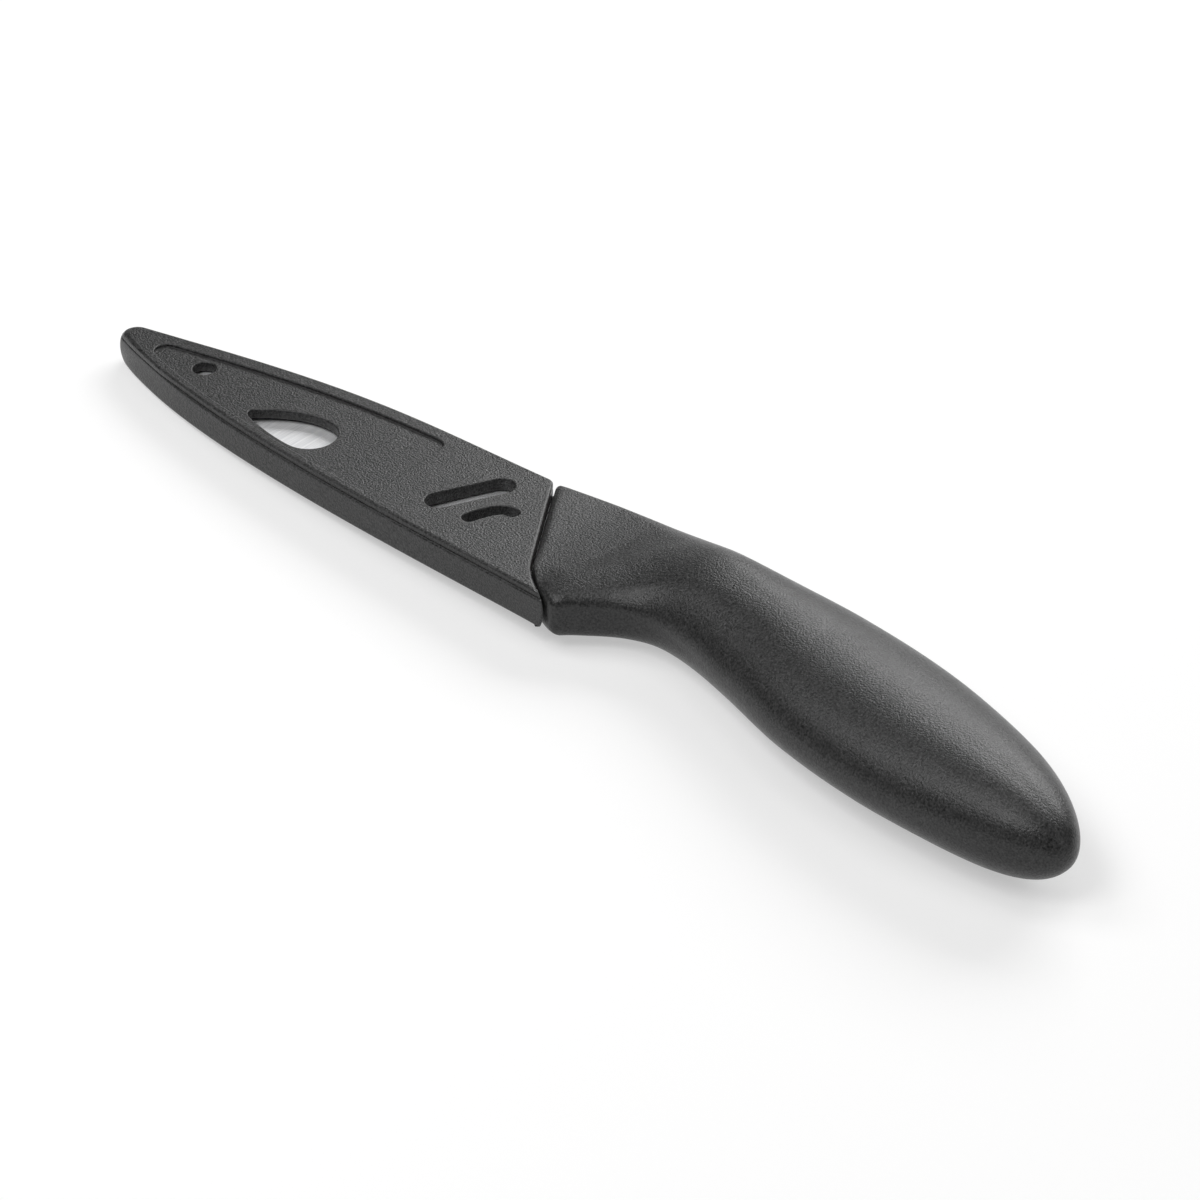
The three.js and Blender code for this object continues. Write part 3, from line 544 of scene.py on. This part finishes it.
def eased(radius, height, way, side=1):
    """Profile of a rounded edge between a flat face and a wall below (way -1) or above it (way 1).

    The flat face lies inside the outline (side 1), or outside it, as round an opening (side -1).
    """
    turns = np.linspace(0, math.pi / 2, EDGE_STEPS + 1)
    edge = [(side * radius * (1 - math.sin(a)), height + way * radius * (1 - math.cos(a))) for a in turns]
    return [(edge[0][0] + side * SUPPORT, height)] + edge


def upright(bottom, top):
    """Profile of a straight wall in even steps."""
    return [(0, height) for height in np.linspace(bottom, top, BULGE_STEPS + 1)]


def prism(outline, bottom, top):
    """A closed skin with a flat outline, from one height to another."""
    skin = bmesh.new()
    low, high = wall(skin, outline, [(0, bottom), (0, top)])
    fill(skin, low)
    fill(skin, high)
    return closed(skin)


def add_tube(skin, rings):
    """Skins rings of equally many points, each to the next; returns the rings of corners."""
    corners = [[skin.verts.new(point) for point in ring] for ring in rings]
    for ring, other in zip(corners, corners[1:]):
        bridge(skin, ring, other)
    return corners


def loft(rings):
    """A closed skin over rings of equally many points."""
    skin = bmesh.new()
    corners = add_tube(skin, rings)
    skin.faces.new(corners[0])
    skin.faces.new(corners[-1])
    return closed(skin)


def closed(skin):
    """A skin with its rings welded and its normals turned outwards."""
    bmesh.ops.remove_doubles(skin, verts=skin.verts, dist=WELD)
    bmesh.ops.recalc_face_normals(skin, faces=skin.faces)
    return skin


def as_object(name, skin):
    mesh = bpy.data.meshes.new(name)
    skin.to_mesh(mesh)
    skin.free()
    made = bpy.data.objects.new(name, mesh)
    bpy.context.scene.collection.objects.link(made)
    return made


def combined(skin, changes):
    """A skin after adding or cutting away other skins, each with its operation."""
    target = as_object("target", skin)
    tools = []
    for other, operation in changes:
        tools.append(as_object("tool", other))
        modifier = target.modifiers.new("change", "BOOLEAN")
        modifier.operation = operation
        modifier.solver = "EXACT"
        modifier.object = tools[-1]
    result = bmesh.new()
    result.from_object(target, bpy.context.evaluated_depsgraph_get())
    for spent in [target, *tools]:
        bpy.data.objects.remove(spent)
    return closed(result)


def place_piece(skin, node, body, material):
    """Turns a finished skin into the piece that stands for a CAD node."""
    bmesh.ops.transform(skin, matrix=PLACE, verts=skin.verts)
    piece = as_object(node + "_skin", skin)
    piece.data.shade_smooth()
    piece.data.set_sharp_from_angle(angle=SHARP_ANGLE)
    piece.data.materials.append(material)
    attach(piece, body)
    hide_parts(node)


# Sheath

def add_openings(skin, outlines, top):
    """Skins the walls of openings in the cover; returns their upper and their lower rings."""
    profile = eased(OPENING_EDGE, top, -1, -1) + [(0, COVER_UNDERSIDE)]
    rings = [wall(skin, outline, profile) for outline in outlines]
    return [upper for upper, _ in rings], [lower for _, lower in rings]


def make_cover(material):
    skin = bmesh.new()
    floor = TOP - PANEL_DEPTH
    long_slot = slot_outline(LONG_SLOT_LINE, LONG_SLOT_RADIUS)
    hook_slot = slot_outline(HOOK_SLOT_LINE, HOOK_SLOT_RADIUS)
    slot_tops, slot_bottoms = add_openings(skin, (long_slot, hook_slot), TOP)
    window_tops, window_bottoms = add_openings(skin, (hole_outline(), leaf_outline()), floor)
    panel_profile = eased(PANEL_EDGE, TOP, -1, -1) + eased(PANEL_FOOT, floor, 1)[::-1]
    land_edge, floor_edge = wall(skin, panel_outline(), panel_profile)
    outer_profile = eased(COVER_EDGE, TOP, -1) + eased(SEAM_EDGE, COVER_LIP, 1)[::-1]
    outer, lip = wall(skin, cover_outline(), outer_profile, ends_bulged)
    spigot_top, spigot_bottom = wall(skin, spigot_outline(), [(0, COVER_LIP), (0, COVER_UNDERSIDE)])
    fill(skin, outer, land_edge, *slot_tops)
    fill(skin, floor_edge, *window_tops)
    fill(skin, lip, spigot_top)
    fill(skin, spigot_bottom, *slot_bottoms, *window_bottoms)
    place_piece(closed(skin), "sheath_cover", "sheath", material)


def make_tray(material):
    skin = bmesh.new()
    pocket = pocket_path(SHEATH_WALL, MOUTH_GAP)
    shell = sheath_shell()
    belly_lip, opening, spine_lip = mouth_parts(shell, pocket)
    outline = joined(shell, belly_lip, opening, spine_lip)
    walls = joined(shell, belly_lip, pocket, spine_lip)
    floor = joined(opening, pocket[::-1])
    lower = eased(TRAY_BOTTOM_EDGE, -TOP, 1) + upright(TRAY_BOTTOM_EDGE - TOP, TRAY_FLOOR)[1:]
    bottom, _ = wall(skin, outline, lower, ends_bulged)
    fill(skin, bottom)
    upper = upright(TRAY_FLOOR, RIM - TRAY_RIM_EDGE)[:-1] + eased(TRAY_RIM_EDGE, RIM, -1)[::-1]
    _, rim = wall(skin, walls, upper, ends_bulged)
    fill(skin, rim)
    fill(skin, add_ring(skin, ends_bulged(floor, TRAY_FLOOR), TRAY_FLOOR))
    place_piece(closed(skin), "sheath_tray", "sheath", material)


# Blade

def blade_skin(grow):
    """The blade's full height from point to heel; grow makes the pocket that it fits in."""
    tip = narrowed_at(BLADE_INSET, TIP_HEIGHT)
    places = tip - grow + (HEEL - tip + 2 * grow) * nose_shares(2 * CURVE_STEPS)
    rings = []
    for x in places:
        back = float(spine_height(max(x, tip), BLADE_INSET)) + grow
        edge = float(belly_height(max(x, tip), BLADE_INSET)) - grow
        height = back - edge
        shoulder = edge + min(GRIND_HEIGHT, height * GRIND_LIMIT)
        bevel = edge + min(BEVEL_HEIGHT, height * BEVEL_LIMIT)
        ease = min(SPINE_EASE, height * SPINE_EASE_LIMIT)
        thick = HALF_BLADE + grow
        half = [
            (edge, HALF_CUTTING_EDGE + grow),
            (bevel, HALF_BEVEL + grow),
            (shoulder, thick),
            (back - ease, thick),
            (back, thick - ease),
        ]
        rings.append([(x, y, z) for y, z in half] + [(x, y, -z) for y, z in half[::-1]])
    return loft(rings)


def tang_skin(grow):
    """The tang, rounded at its end, from inside the blade; grow makes the pocket that it fits in."""
    radius = TANG_WIDTH / 2 + grow
    centre = (TANG_END - TANG_WIDTH / 2, TANG_MIDDLE)
    front = [(HEEL / 2, TANG_MIDDLE + radius), (HEEL / 2, TANG_MIDDLE - radius)]
    outline = joined(np.array(front), arc(centre, radius, -math.pi / 2, math.pi / 2, ARC_STEPS))
    return prism(outline, -HALF_BLADE - grow, HALF_BLADE + grow)


def make_blade(material):
    changes = [(tang_skin(0), "UNION")]
    for x in TANG_HOLES:
        hole = joined(arc((x, TANG_MIDDLE), TANG_HOLE_RADIUS, 0, 2 * math.pi, ARC_STEPS))
        changes.append((prism(hole, -PAST, PAST), "DIFFERENCE"))
    skin = combined(blade_skin(0), changes)
    place_piece(skin, "blade", "knife", material)


# Handle

def along_grip(share):
    """x at a share of the way from the toe to the butt."""
    return TOE[0] + (HANDLE_LENGTH - TOE[0]) * share


def smooth_line(points):
    """A smooth curve through points whose x increases, as a function of x."""
    xs, ys = np.array(points, float).T
    ends = np.arange(len(xs))
    before, after = np.maximum(ends - 1, 0), np.minimum(ends + 1, len(xs) - 1)
    slopes = (ys[after] - ys[before]) / (xs[after] - xs[before])

    def line(x):
        x = np.clip(x, xs[0], xs[-1])
        i = np.clip(np.searchsorted(xs, x, side="right") - 1, 0, len(xs) - 2)
        run = xs[i + 1] - xs[i]
        u = (x - xs[i]) / run
        rise = u * u * (3 - 2 * u)
        leave = u * (1 - u) ** 2
        arrive = u * u * (u - 1)
        return ys[i] + (ys[i + 1] - ys[i]) * rise + run * (leave * slopes[i] + arrive * slopes[i + 1])

    return line


def grip_line(front, along):
    """A smooth line through points at an x, then points at a share of the way from toe to butt."""
    return smooth_line(front + [(along_grip(share), value) for share, value in along])


# Heights of the handle's spine and belly
SPINE_LINE = grip_line(
    [(0, 0.1), (BOLSTER, 2.7)],
    [(0.08, 4.2), (0.22, 4.9), (0.41, 5.18), (0.61, 2.8), (0.81, -2.8), (1, -9.4)],
)
BELLY_LINE = grip_line(
    [
        (TOE[0] - TOE_HALF_LENGTH, TOE[1] + TOE_DROP_ENDS),
        (TOE[0] + TOE_FULLEST, TOE[1] + TOE_DROP),
        (TOE[0] + TOE_HALF_LENGTH, TOE[1] + TOE_DROP_ENDS),
    ],
    [
        (0.09, -18.3), (0.15, -16.3), (0.22, -16.9), (0.32, -19.7),
        (0.47, -24.1), (0.64, -26.37), (0.83, -26.2), (1, -26.3),
    ],
)
# Thickness, from 0 for that of the sheath to 1 for the full one
SWELL = grip_line(
    [(0, 0), (BOLSTER, 0.04)],
    [(0.09, 0.39), (0.27, 0.82), (0.52, 0.995), (0.79, 0.955), (1, 0.9)],
)
# Section, from 0 for flat with rounded edges to 1 for an oval
SPINE_OVALNESS = grip_line(
    [(0, 0), (BOLSTER, 0.07)],
    [(0.13, 0.56), (0.22, 0.82), (0.33, 0.95), (1, 0.97)],
)
BELLY_OVALNESS = grip_line(
    [],
    [(0.01, 0.02), (0.09, 0.2), (0.15, 0.45), (0.33, 0.95), (0.7, 0.94), (1, 0.72)],
)
# Share of its rise that the neck's top loses towards the belly
NECK_FALL = grip_line([(BOLSTER, 0)], [(0, 0.28), (0.1, 0.34), (0.2, 0.2), (0.42, 0)])
# Where across the neck that fall starts, from 1 at the spine to -1 at the belly
NECK_FALL_START = grip_line([], [(0, -0.6), (0.05, 0), (0.12, 0.6)])
# Share of its rise by which the middle of the neck's top stands higher
NECK_CROWN = grip_line([], [(0, 0), (0.06, 0.13), (0.15, 0.28), (0.27, 0.13), (0.42, 0)])


def handle_section(x):
    """Middle, half width and half thickness of the handle's section at x."""
    into_corner = np.clip(HANDLE_FRONT_CORNER - x, 0, HANDLE_FRONT_CORNER)
    upper = SPINE_LINE(x) - HANDLE_FRONT_CORNER + np.sqrt(HANDLE_FRONT_CORNER ** 2 - into_corner ** 2)
    lower = BELLY_LINE(x)
    into_butt = np.clip((x - HANDLE_LENGTH + BUTT_LENGTH) / BUTT_LENGTH, 0, 1)
    across, up = (np.sqrt(1 - into_butt ** fullness) for fullness in BUTT_FULLNESS)
    half_width = (upper - lower) / 2 * across
    half_thickness = (TOP + (HANDLE_HALF_THICKNESS - TOP) * SWELL(x)) * up
    return (upper + lower) / 2, half_width, half_thickness


def section_lines():
    """The lines that run along the handle: each one's place on the flats and on the edges' quarters."""
    quarter = np.linspace(0, math.pi / 2, SECTION_STEPS + 1)
    side = np.linspace(0, 1, SIDE_STEPS // 2 + 1)[:-1]
    flat = np.linspace(1, 0, FLAT_STEPS // 2 + 1)[1:]
    # From the middle of the spine side, over the edge, to the middle of the top
    rows = [(1, up, 1, 0) for up in side]
    rows += [(1, 1, math.cos(a), math.sin(a)) for a in quarter]
    rows += [(across, 1, 0, 1) for across in flat]
    first = np.array(rows)
    second = (first * (-1, 1, -1, 1))[::-1][1:]
    half = np.concatenate([first, second])
    mirrored = (half * (1, -1, 1, -1))[::-1][1:-1]
    return np.concatenate([half, mirrored]).T


ACROSS, UP, COSINE, SINE = section_lines()
LINES = len(ACROSS)


def line_places(x, inwards):
    """Height and rise of each line at its own x, with the section drawn in by a distance."""
    middle, half_width, half_thickness = handle_section(x)
    oval = np.clip(np.where(ACROSS > 0, SPINE_OVALNESS(x), BELLY_OVALNESS(x)), 0, 1)
    edge = np.minimum(np.where(ACROSS > 0, *HANDLE_EDGE_RADII), half_thickness)
    edge_across = np.maximum(edge + (half_width - edge) * oval - inwards, BLUNT)
    edge_up = np.maximum(edge + (half_thickness - edge) * np.sqrt(oval) - inwards, BLUNT)
    y = middle + ACROSS * (half_width - inwards - edge_across) + edge_across * COSINE
    z = UP * (half_thickness - inwards - edge_up) + edge_up * SINE
    start = NECK_FALL_START(x)
    place = (y - middle) / half_width
    fallen = np.clip((start - place) / (start + 1), 0, 1) ** NECK_FALL_POWER
    crowned = np.clip(1 - place ** 2, 0, 1)
    top = z * (1 - NECK_FALL(x) * fallen + NECK_CROWN(x) * crowned)
    return y, np.where(z > 0, top, z)


def handle_rings():
    """Rings round the handle from its slanted front to its butt."""
    rings = []

    def add(x, inwards=0.0):
        y, z = line_places(x, inwards)
        rings.append(np.stack([x, y, z], axis=1))

    toe = smooth_step(-ACROSS, -TOE_EDGE_FROM, 1)
    radius = HANDLE_FRONT_EDGE + (TOE_FRONT_EDGE - HANDLE_FRONT_EDGE) * toe
    for turn in np.linspace(0, math.pi / 2, EDGE_STEPS + 2):
        inwards = radius * (1 - math.sin(turn))
        behind = radius * (1 - math.cos(turn))

        def in_front(x):
            return x < joint_x(line_places(x, inwards)[0], HANDLE_TOE_SLANT) + behind

        start = halved(np.zeros(LINES), np.full(LINES, FRONT_END), in_front)
        add(start, inwards)
    # From behind the rounded edge, each line runs on from its own start
    for share in np.linspace(0, 1, FRONT_STEPS + 1)[1:]:
        add(start + (FRONT_END - start) * share)
    butt_start = HANDLE_LENGTH - BUTT_LENGTH
    for x in np.linspace(FRONT_END, butt_start, GRIP_STEPS + 1)[1:]:
        add(np.full(LINES, x))
    for turn in np.linspace(0, math.pi / 2, BUTT_STEPS + 1)[1:-1]:
        add(np.full(LINES, butt_start + BUTT_LENGTH * math.sin(turn)))
    return rings


def handle_skin():
    """The handle as a full body: its rings, closed by its flat front and by a point at the butt."""
    skin = bmesh.new()
    rings = add_tube(skin, handle_rings())
    front = rings[0]
    for i in range(LINES // 2):
        corners = [front[i], front[i + 1], front[(LINES - i - 1) % LINES], front[(LINES - i) % LINES]]
        skin.faces.new(list(dict.fromkeys(corners)))
    last = rings[-1]
    middle = float(handle_section(np.array(HANDLE_LENGTH))[0])
    pole = skin.verts.new((HANDLE_LENGTH - BLUNT, middle, 0))
    for i, corner in enumerate(last):
        skin.faces.new((last[i - 1], corner, pole))
    return closed(skin)


def core_skin(grow):
    """The hollow for the cores under the grip's skin, larger than them by grow."""
    rings = []
    start, end = TOE[0] + CORE_BEHIND_TOE - grow, HANDLE_LENGTH - CORE_BEFORE_BUTT + grow
    angles = np.linspace(0, 2 * math.pi, 2 * ARC_STEPS + 1)[:-1]
    for x in np.linspace(start, end, CORE_STEPS + 1):
        middle, half_width, half_thickness = (float(value) for value in handle_section(np.array(x)))
        across, up = half_width - GRIP_SKIN + grow, half_thickness - GRIP_SKIN + grow
        rings.append([(x, middle + across * math.cos(a), up * math.sin(a)) for a in angles])
    return loft(rings)


def collar_skin():
    """A low collar round the blade, which slopes from the handle's front into the gap at the mouth."""
    start, shoulder = COLLAR_HEIGHTS
    heights = np.linspace(*COLLAR_ENDS, ARC_STEPS + 1)
    front = joint_x(heights, HANDLE_TOE_SLANT)
    back = np.stack([front + COLLAR_ROOT, heights], axis=1)[::-1]
    rings = []
    for reach, rise in ((0, -start), (COLLAR_REACH, -shoulder), (COLLAR_REACH, shoulder), (0, start)):
        outline = joined(np.stack([front - reach, heights], axis=1), back)
        rings.append([(x, y, rise) for x, y in outline])
    return loft(rings)


def make_grip(material):
    hollows = [blade_skin(SEAT_GAP), tang_skin(SEAT_GAP), core_skin(SEAT_GAP)]
    changes = [(collar_skin(), "UNION")] + [(hollow, "DIFFERENCE") for hollow in hollows]
    skin = combined(handle_skin(), changes)
    place_piece(skin, "handle_grip", "knife", material)


# Materials

def add_node(tree, kind, inputs, **settings):
    """A shader node with its settings; each input is a plain value or another node's output."""
    made = tree.nodes.new(kind)
    for name, value in settings.items():
        setattr(made, name, value)
    for name, value in inputs.items():
        if isinstance(value, bpy.types.NodeSocket):
            tree.links.new(value, made.inputs[name])
        else:
            made.inputs[name].default_value = value
    return made


def new_material(name):
    """An empty node material, with its tree and its output node."""
    material = bpy.data.materials.new(name)
    material.use_nodes = True
    tree = material.node_tree
    tree.nodes.clear()
    output = tree.nodes.new("ShaderNodeOutputMaterial")
    return material, tree, output


def noise(tree, vector, scale, detail, roughness):
    inputs = {"Vector": vector, "Scale": scale, "Detail": detail, "Roughness": roughness}
    return add_node(tree, "ShaderNodeTexNoise", inputs).outputs["Fac"]


def between(tree, value, start, end, low, high):
    """A value from one range carried over to another."""
    inputs = {"Value": value, "From Min": start, "From Max": end, "To Min": low, "To Max": high}
    return add_node(tree, "ShaderNodeMapRange", inputs).outputs["Result"]


def grey(value):
    return value, value, value


def shades(tree, value, dark, light):
    """A colour between two shades, by a noise's value."""
    start, end = NOISE_RANGE
    ramp = add_node(tree, "ShaderNodeValToRGB", {"Fac": value})
    first, last = ramp.color_ramp.elements
    first.position, first.color = start, (*dark, 1)
    last.position, last.color = end, (*light, 1)
    return ramp.outputs["Color"]


def edge_wear_and_highlight(tree):
    """From 0 on plain faces up to 1 where a face turns over an edge: where edges are painted lighter, as
    rubbed wear and as a painted highlight.
    """
    rounded = add_node(tree, "ShaderNodeBevel", {"Radius": WEAR_AND_HIGHLIGHT_RADIUS}, samples=WEAR_AND_HIGHLIGHT_SAMPLES)
    plain_normal = add_node(tree, "ShaderNodeNewGeometry", {}).outputs["Normal"]
    facing = {0: rounded.outputs["Normal"], 1: plain_normal}
    alike = add_node(tree, "ShaderNodeVectorMath", facing, operation="DOT_PRODUCT").outputs["Value"]
    return between(tree, alike, *WEAR_AND_HIGHLIGHT_TURNS, 0, 1)


def grained_plastic(name, dark, light, roughness, grain_depth):
    """Black moulded plastic: a fine spark-eroded grain, a mottle in its gloss, edges painted lighter,
    partly as rubbed wear and partly as a painted highlight.
    """
    material, tree, output = new_material(name)
    place = add_node(tree, "ShaderNodeTexCoord", {}).outputs["Object"]
    grain = noise(tree, place, *GRAIN_NOISE)
    mottle = noise(tree, place, *MOTTLE_NOISE)
    bump_inputs = {"Height": grain, "Strength": 1.0, "Distance": grain_depth}
    bump = add_node(tree, "ShaderNodeBump", bump_inputs).outputs["Normal"]
    smoothest, roughest = roughness - MOTTLE_DEPTH, roughness + MOTTLE_DEPTH
    # Lighter grey on the edges: rubbed wear together with a painted highlight along the rims
    colour = add_node(tree, "ShaderNodeMix", {
        "Factor": edge_wear_and_highlight(tree),
        "A": shades(tree, grain, grey(dark), grey(light)),
        "B": (*WORN_AND_HIGHLIT_EDGE, 1),
    }, data_type="RGBA")
    shader = add_node(tree, "ShaderNodeBsdfPrincipled", {
        "Base Color": colour.outputs["Result"],
        "Roughness": between(tree, mottle, *NOISE_RANGE, smoothest, roughest),
        "IOR": PLASTIC_IOR,
        "Specular IOR Level": PLASTIC_GLOSS,
        "Normal": bump,
    })
    tree.links.new(shader.outputs["BSDF"], output.inputs["Surface"])
    return material


def satin_steel(name):
    """Ground steel: fine lines across the blade, from the spine to the edge, with a cloudy gloss."""
    material, tree, output = new_material(name)
    place = add_node(tree, "ShaderNodeTexCoord", {}).outputs["Object"]
    drawn_out = add_node(tree, "ShaderNodeMapping", {"Vector": place, "Scale": LINE_SCALES})
    lines = noise(tree, drawn_out.outputs["Vector"], *LINE_NOISE)
    cloud = noise(tree, place, *STEEL_CLOUD_NOISE)
    bump_inputs = {"Height": lines, "Strength": LINE_STRENGTH, "Distance": LINE_DEPTH}
    shader = add_node(tree, "ShaderNodeBsdfPrincipled", {
        "Base Color": shades(tree, lines, *STEEL_SHADES),
        "Metallic": 1.0,
        "Roughness": between(tree, cloud, *NOISE_RANGE, *STEEL_ROUGHNESS),
        "Normal": add_node(tree, "ShaderNodeBump", bump_inputs).outputs["Normal"],
    })
    tree.links.new(shader.outputs["BSDF"], output.inputs["Surface"])
    return material


def paint_node(node, material):
    """Gives its material to a CAD node that is shown as it is."""
    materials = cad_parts[node].data.materials
    materials.clear()
    materials.append(material)


# Stage

def background_rays(tree):
    """1 for rays that show the background: from the camera, off gloss and through glass."""
    rays = add_node(tree, "ShaderNodeLightPath", {}).outputs
    seen = rays["Is Camera Ray"]
    for kind in ("Is Glossy Ray", "Is Transmission Ray"):
        seen = add_node(tree, "ShaderNodeMath", {0: seen, 1: rays[kind]}, operation="MAXIMUM").outputs[0]
    return seen


def floor_material():
    material, tree, output = new_material("floor_white")
    place = add_node(tree, "ShaderNodeTexCoord", {}).outputs["Object"]
    cloud = noise(tree, place, *FLOOR_CLOUD_NOISE)
    matt = add_node(tree, "ShaderNodeBsdfPrincipled", {
        "Base Color": shades(tree, cloud, *(grey(value) for value in FLOOR_GREYS)),
        "Roughness": FLOOR_ROUGHNESS,
        "Specular IOR Level": 0.0,
    })
    lift = between(tree, background_rays(tree), 0, 1, 0, FLOOR_LIFT)
    glow = add_node(tree, "ShaderNodeEmission", {"Strength": lift})
    both = add_node(tree, "ShaderNodeAddShader", {0: matt.outputs["BSDF"], 1: glow.outputs["Emission"]})
    tree.links.new(both.outputs["Shader"], output.inputs["Surface"])
    return material


def make_floor():
    skin = bmesh.new()
    bmesh.ops.create_grid(skin, x_segments=2, y_segments=2, size=FLOOR_SIZE / 2)
    floor = as_object("floor", skin)
    floor.location.z = -FLOOR_DROP
    floor.data.materials.append(floor_material())


def make_world():
    world = bpy.data.worlds.new("studio")
    world.use_nodes = True
    tree = world.node_tree
    tree.nodes.clear()
    output = tree.nodes.new("ShaderNodeOutputWorld")
    sky = add_node(tree, "ShaderNodeBackground", {"Color": (1, 1, 1, 1), "Strength": WORLD_FILL})
    tree.links.new(sky.outputs["Background"], output.inputs["Surface"])
    bpy.context.scene.world = world


def way_out(azimuth, elevation):
    """Unit way outwards, by degrees: azimuth from +Y towards +X, elevation upwards."""
    turn, rise = math.radians(azimuth), math.radians(elevation)
    return Vector((math.sin(turn) * math.cos(rise), math.cos(turn) * math.cos(rise), math.sin(rise)))


def soft_lamp(name, azimuth, elevation, width, radiance):
    """A soft box that faces the knife, itself unseen by the camera."""
    data = bpy.data.lights.new(name, "AREA")
    data.shape = "RECTANGLE"
    data.size, data.size_y = width, LAMP_HEIGHT
    data.energy = radiance * math.pi * width * LAMP_HEIGHT
    lamp = bpy.data.objects.new(name, data)
    way = way_out(azimuth, elevation)
    lamp.location = way * LAMP_DISTANCE
    lamp.rotation_mode = "QUATERNION"
    lamp.rotation_quaternion = way.to_track_quat("Z", "Y")
    lamp.visible_camera = False
    bpy.context.scene.collection.objects.link(lamp)


def make_lamps():
    for name, settings in LAMPS.items():
        soft_lamp(name, *settings)


def make_camera():
    back = way_out(CAMERA_AZIMUTH, CAMERA_ELEVATION)
    right = Vector((0, 0, 1)).cross(back).normalized()
    turn = Matrix((right, back.cross(right), back)).transposed()
    data = bpy.data.cameras.new("camera")
    data.lens = CAMERA_LENS
    data.sensor_width = CAMERA_SENSOR
    camera = bpy.data.objects.new("camera", data)
    rest = Matrix.Rotation(REST_TILT, 3, "Y")
    spot = PLACE @ (CAMERA_TARGET + back * CAMERA_DISTANCE)
    camera.matrix_world = Matrix.Translation(spot) @ (rest @ turn).to_4x4()
    bpy.context.scene.collection.objects.link(camera)
    bpy.context.scene.camera = camera


make_camera()
sheath_plastic = grained_plastic("sheath_plastic", *SHEATH_PLASTIC)
grip_plastic = grained_plastic("grip_plastic", *GRIP_PLASTIC)
core_plastic = grained_plastic("core_plastic", *CORE_PLASTIC)
make_cover(sheath_plastic)
make_tray(sheath_plastic)
make_blade(satin_steel("steel"))
make_grip(grip_plastic)
paint_node("handle_core_upper", core_plastic)
paint_node("handle_core_lower", core_plastic)
make_floor()
make_world()
make_lamps()
bpy.context.scene.view_settings.view_transform = "Standard"
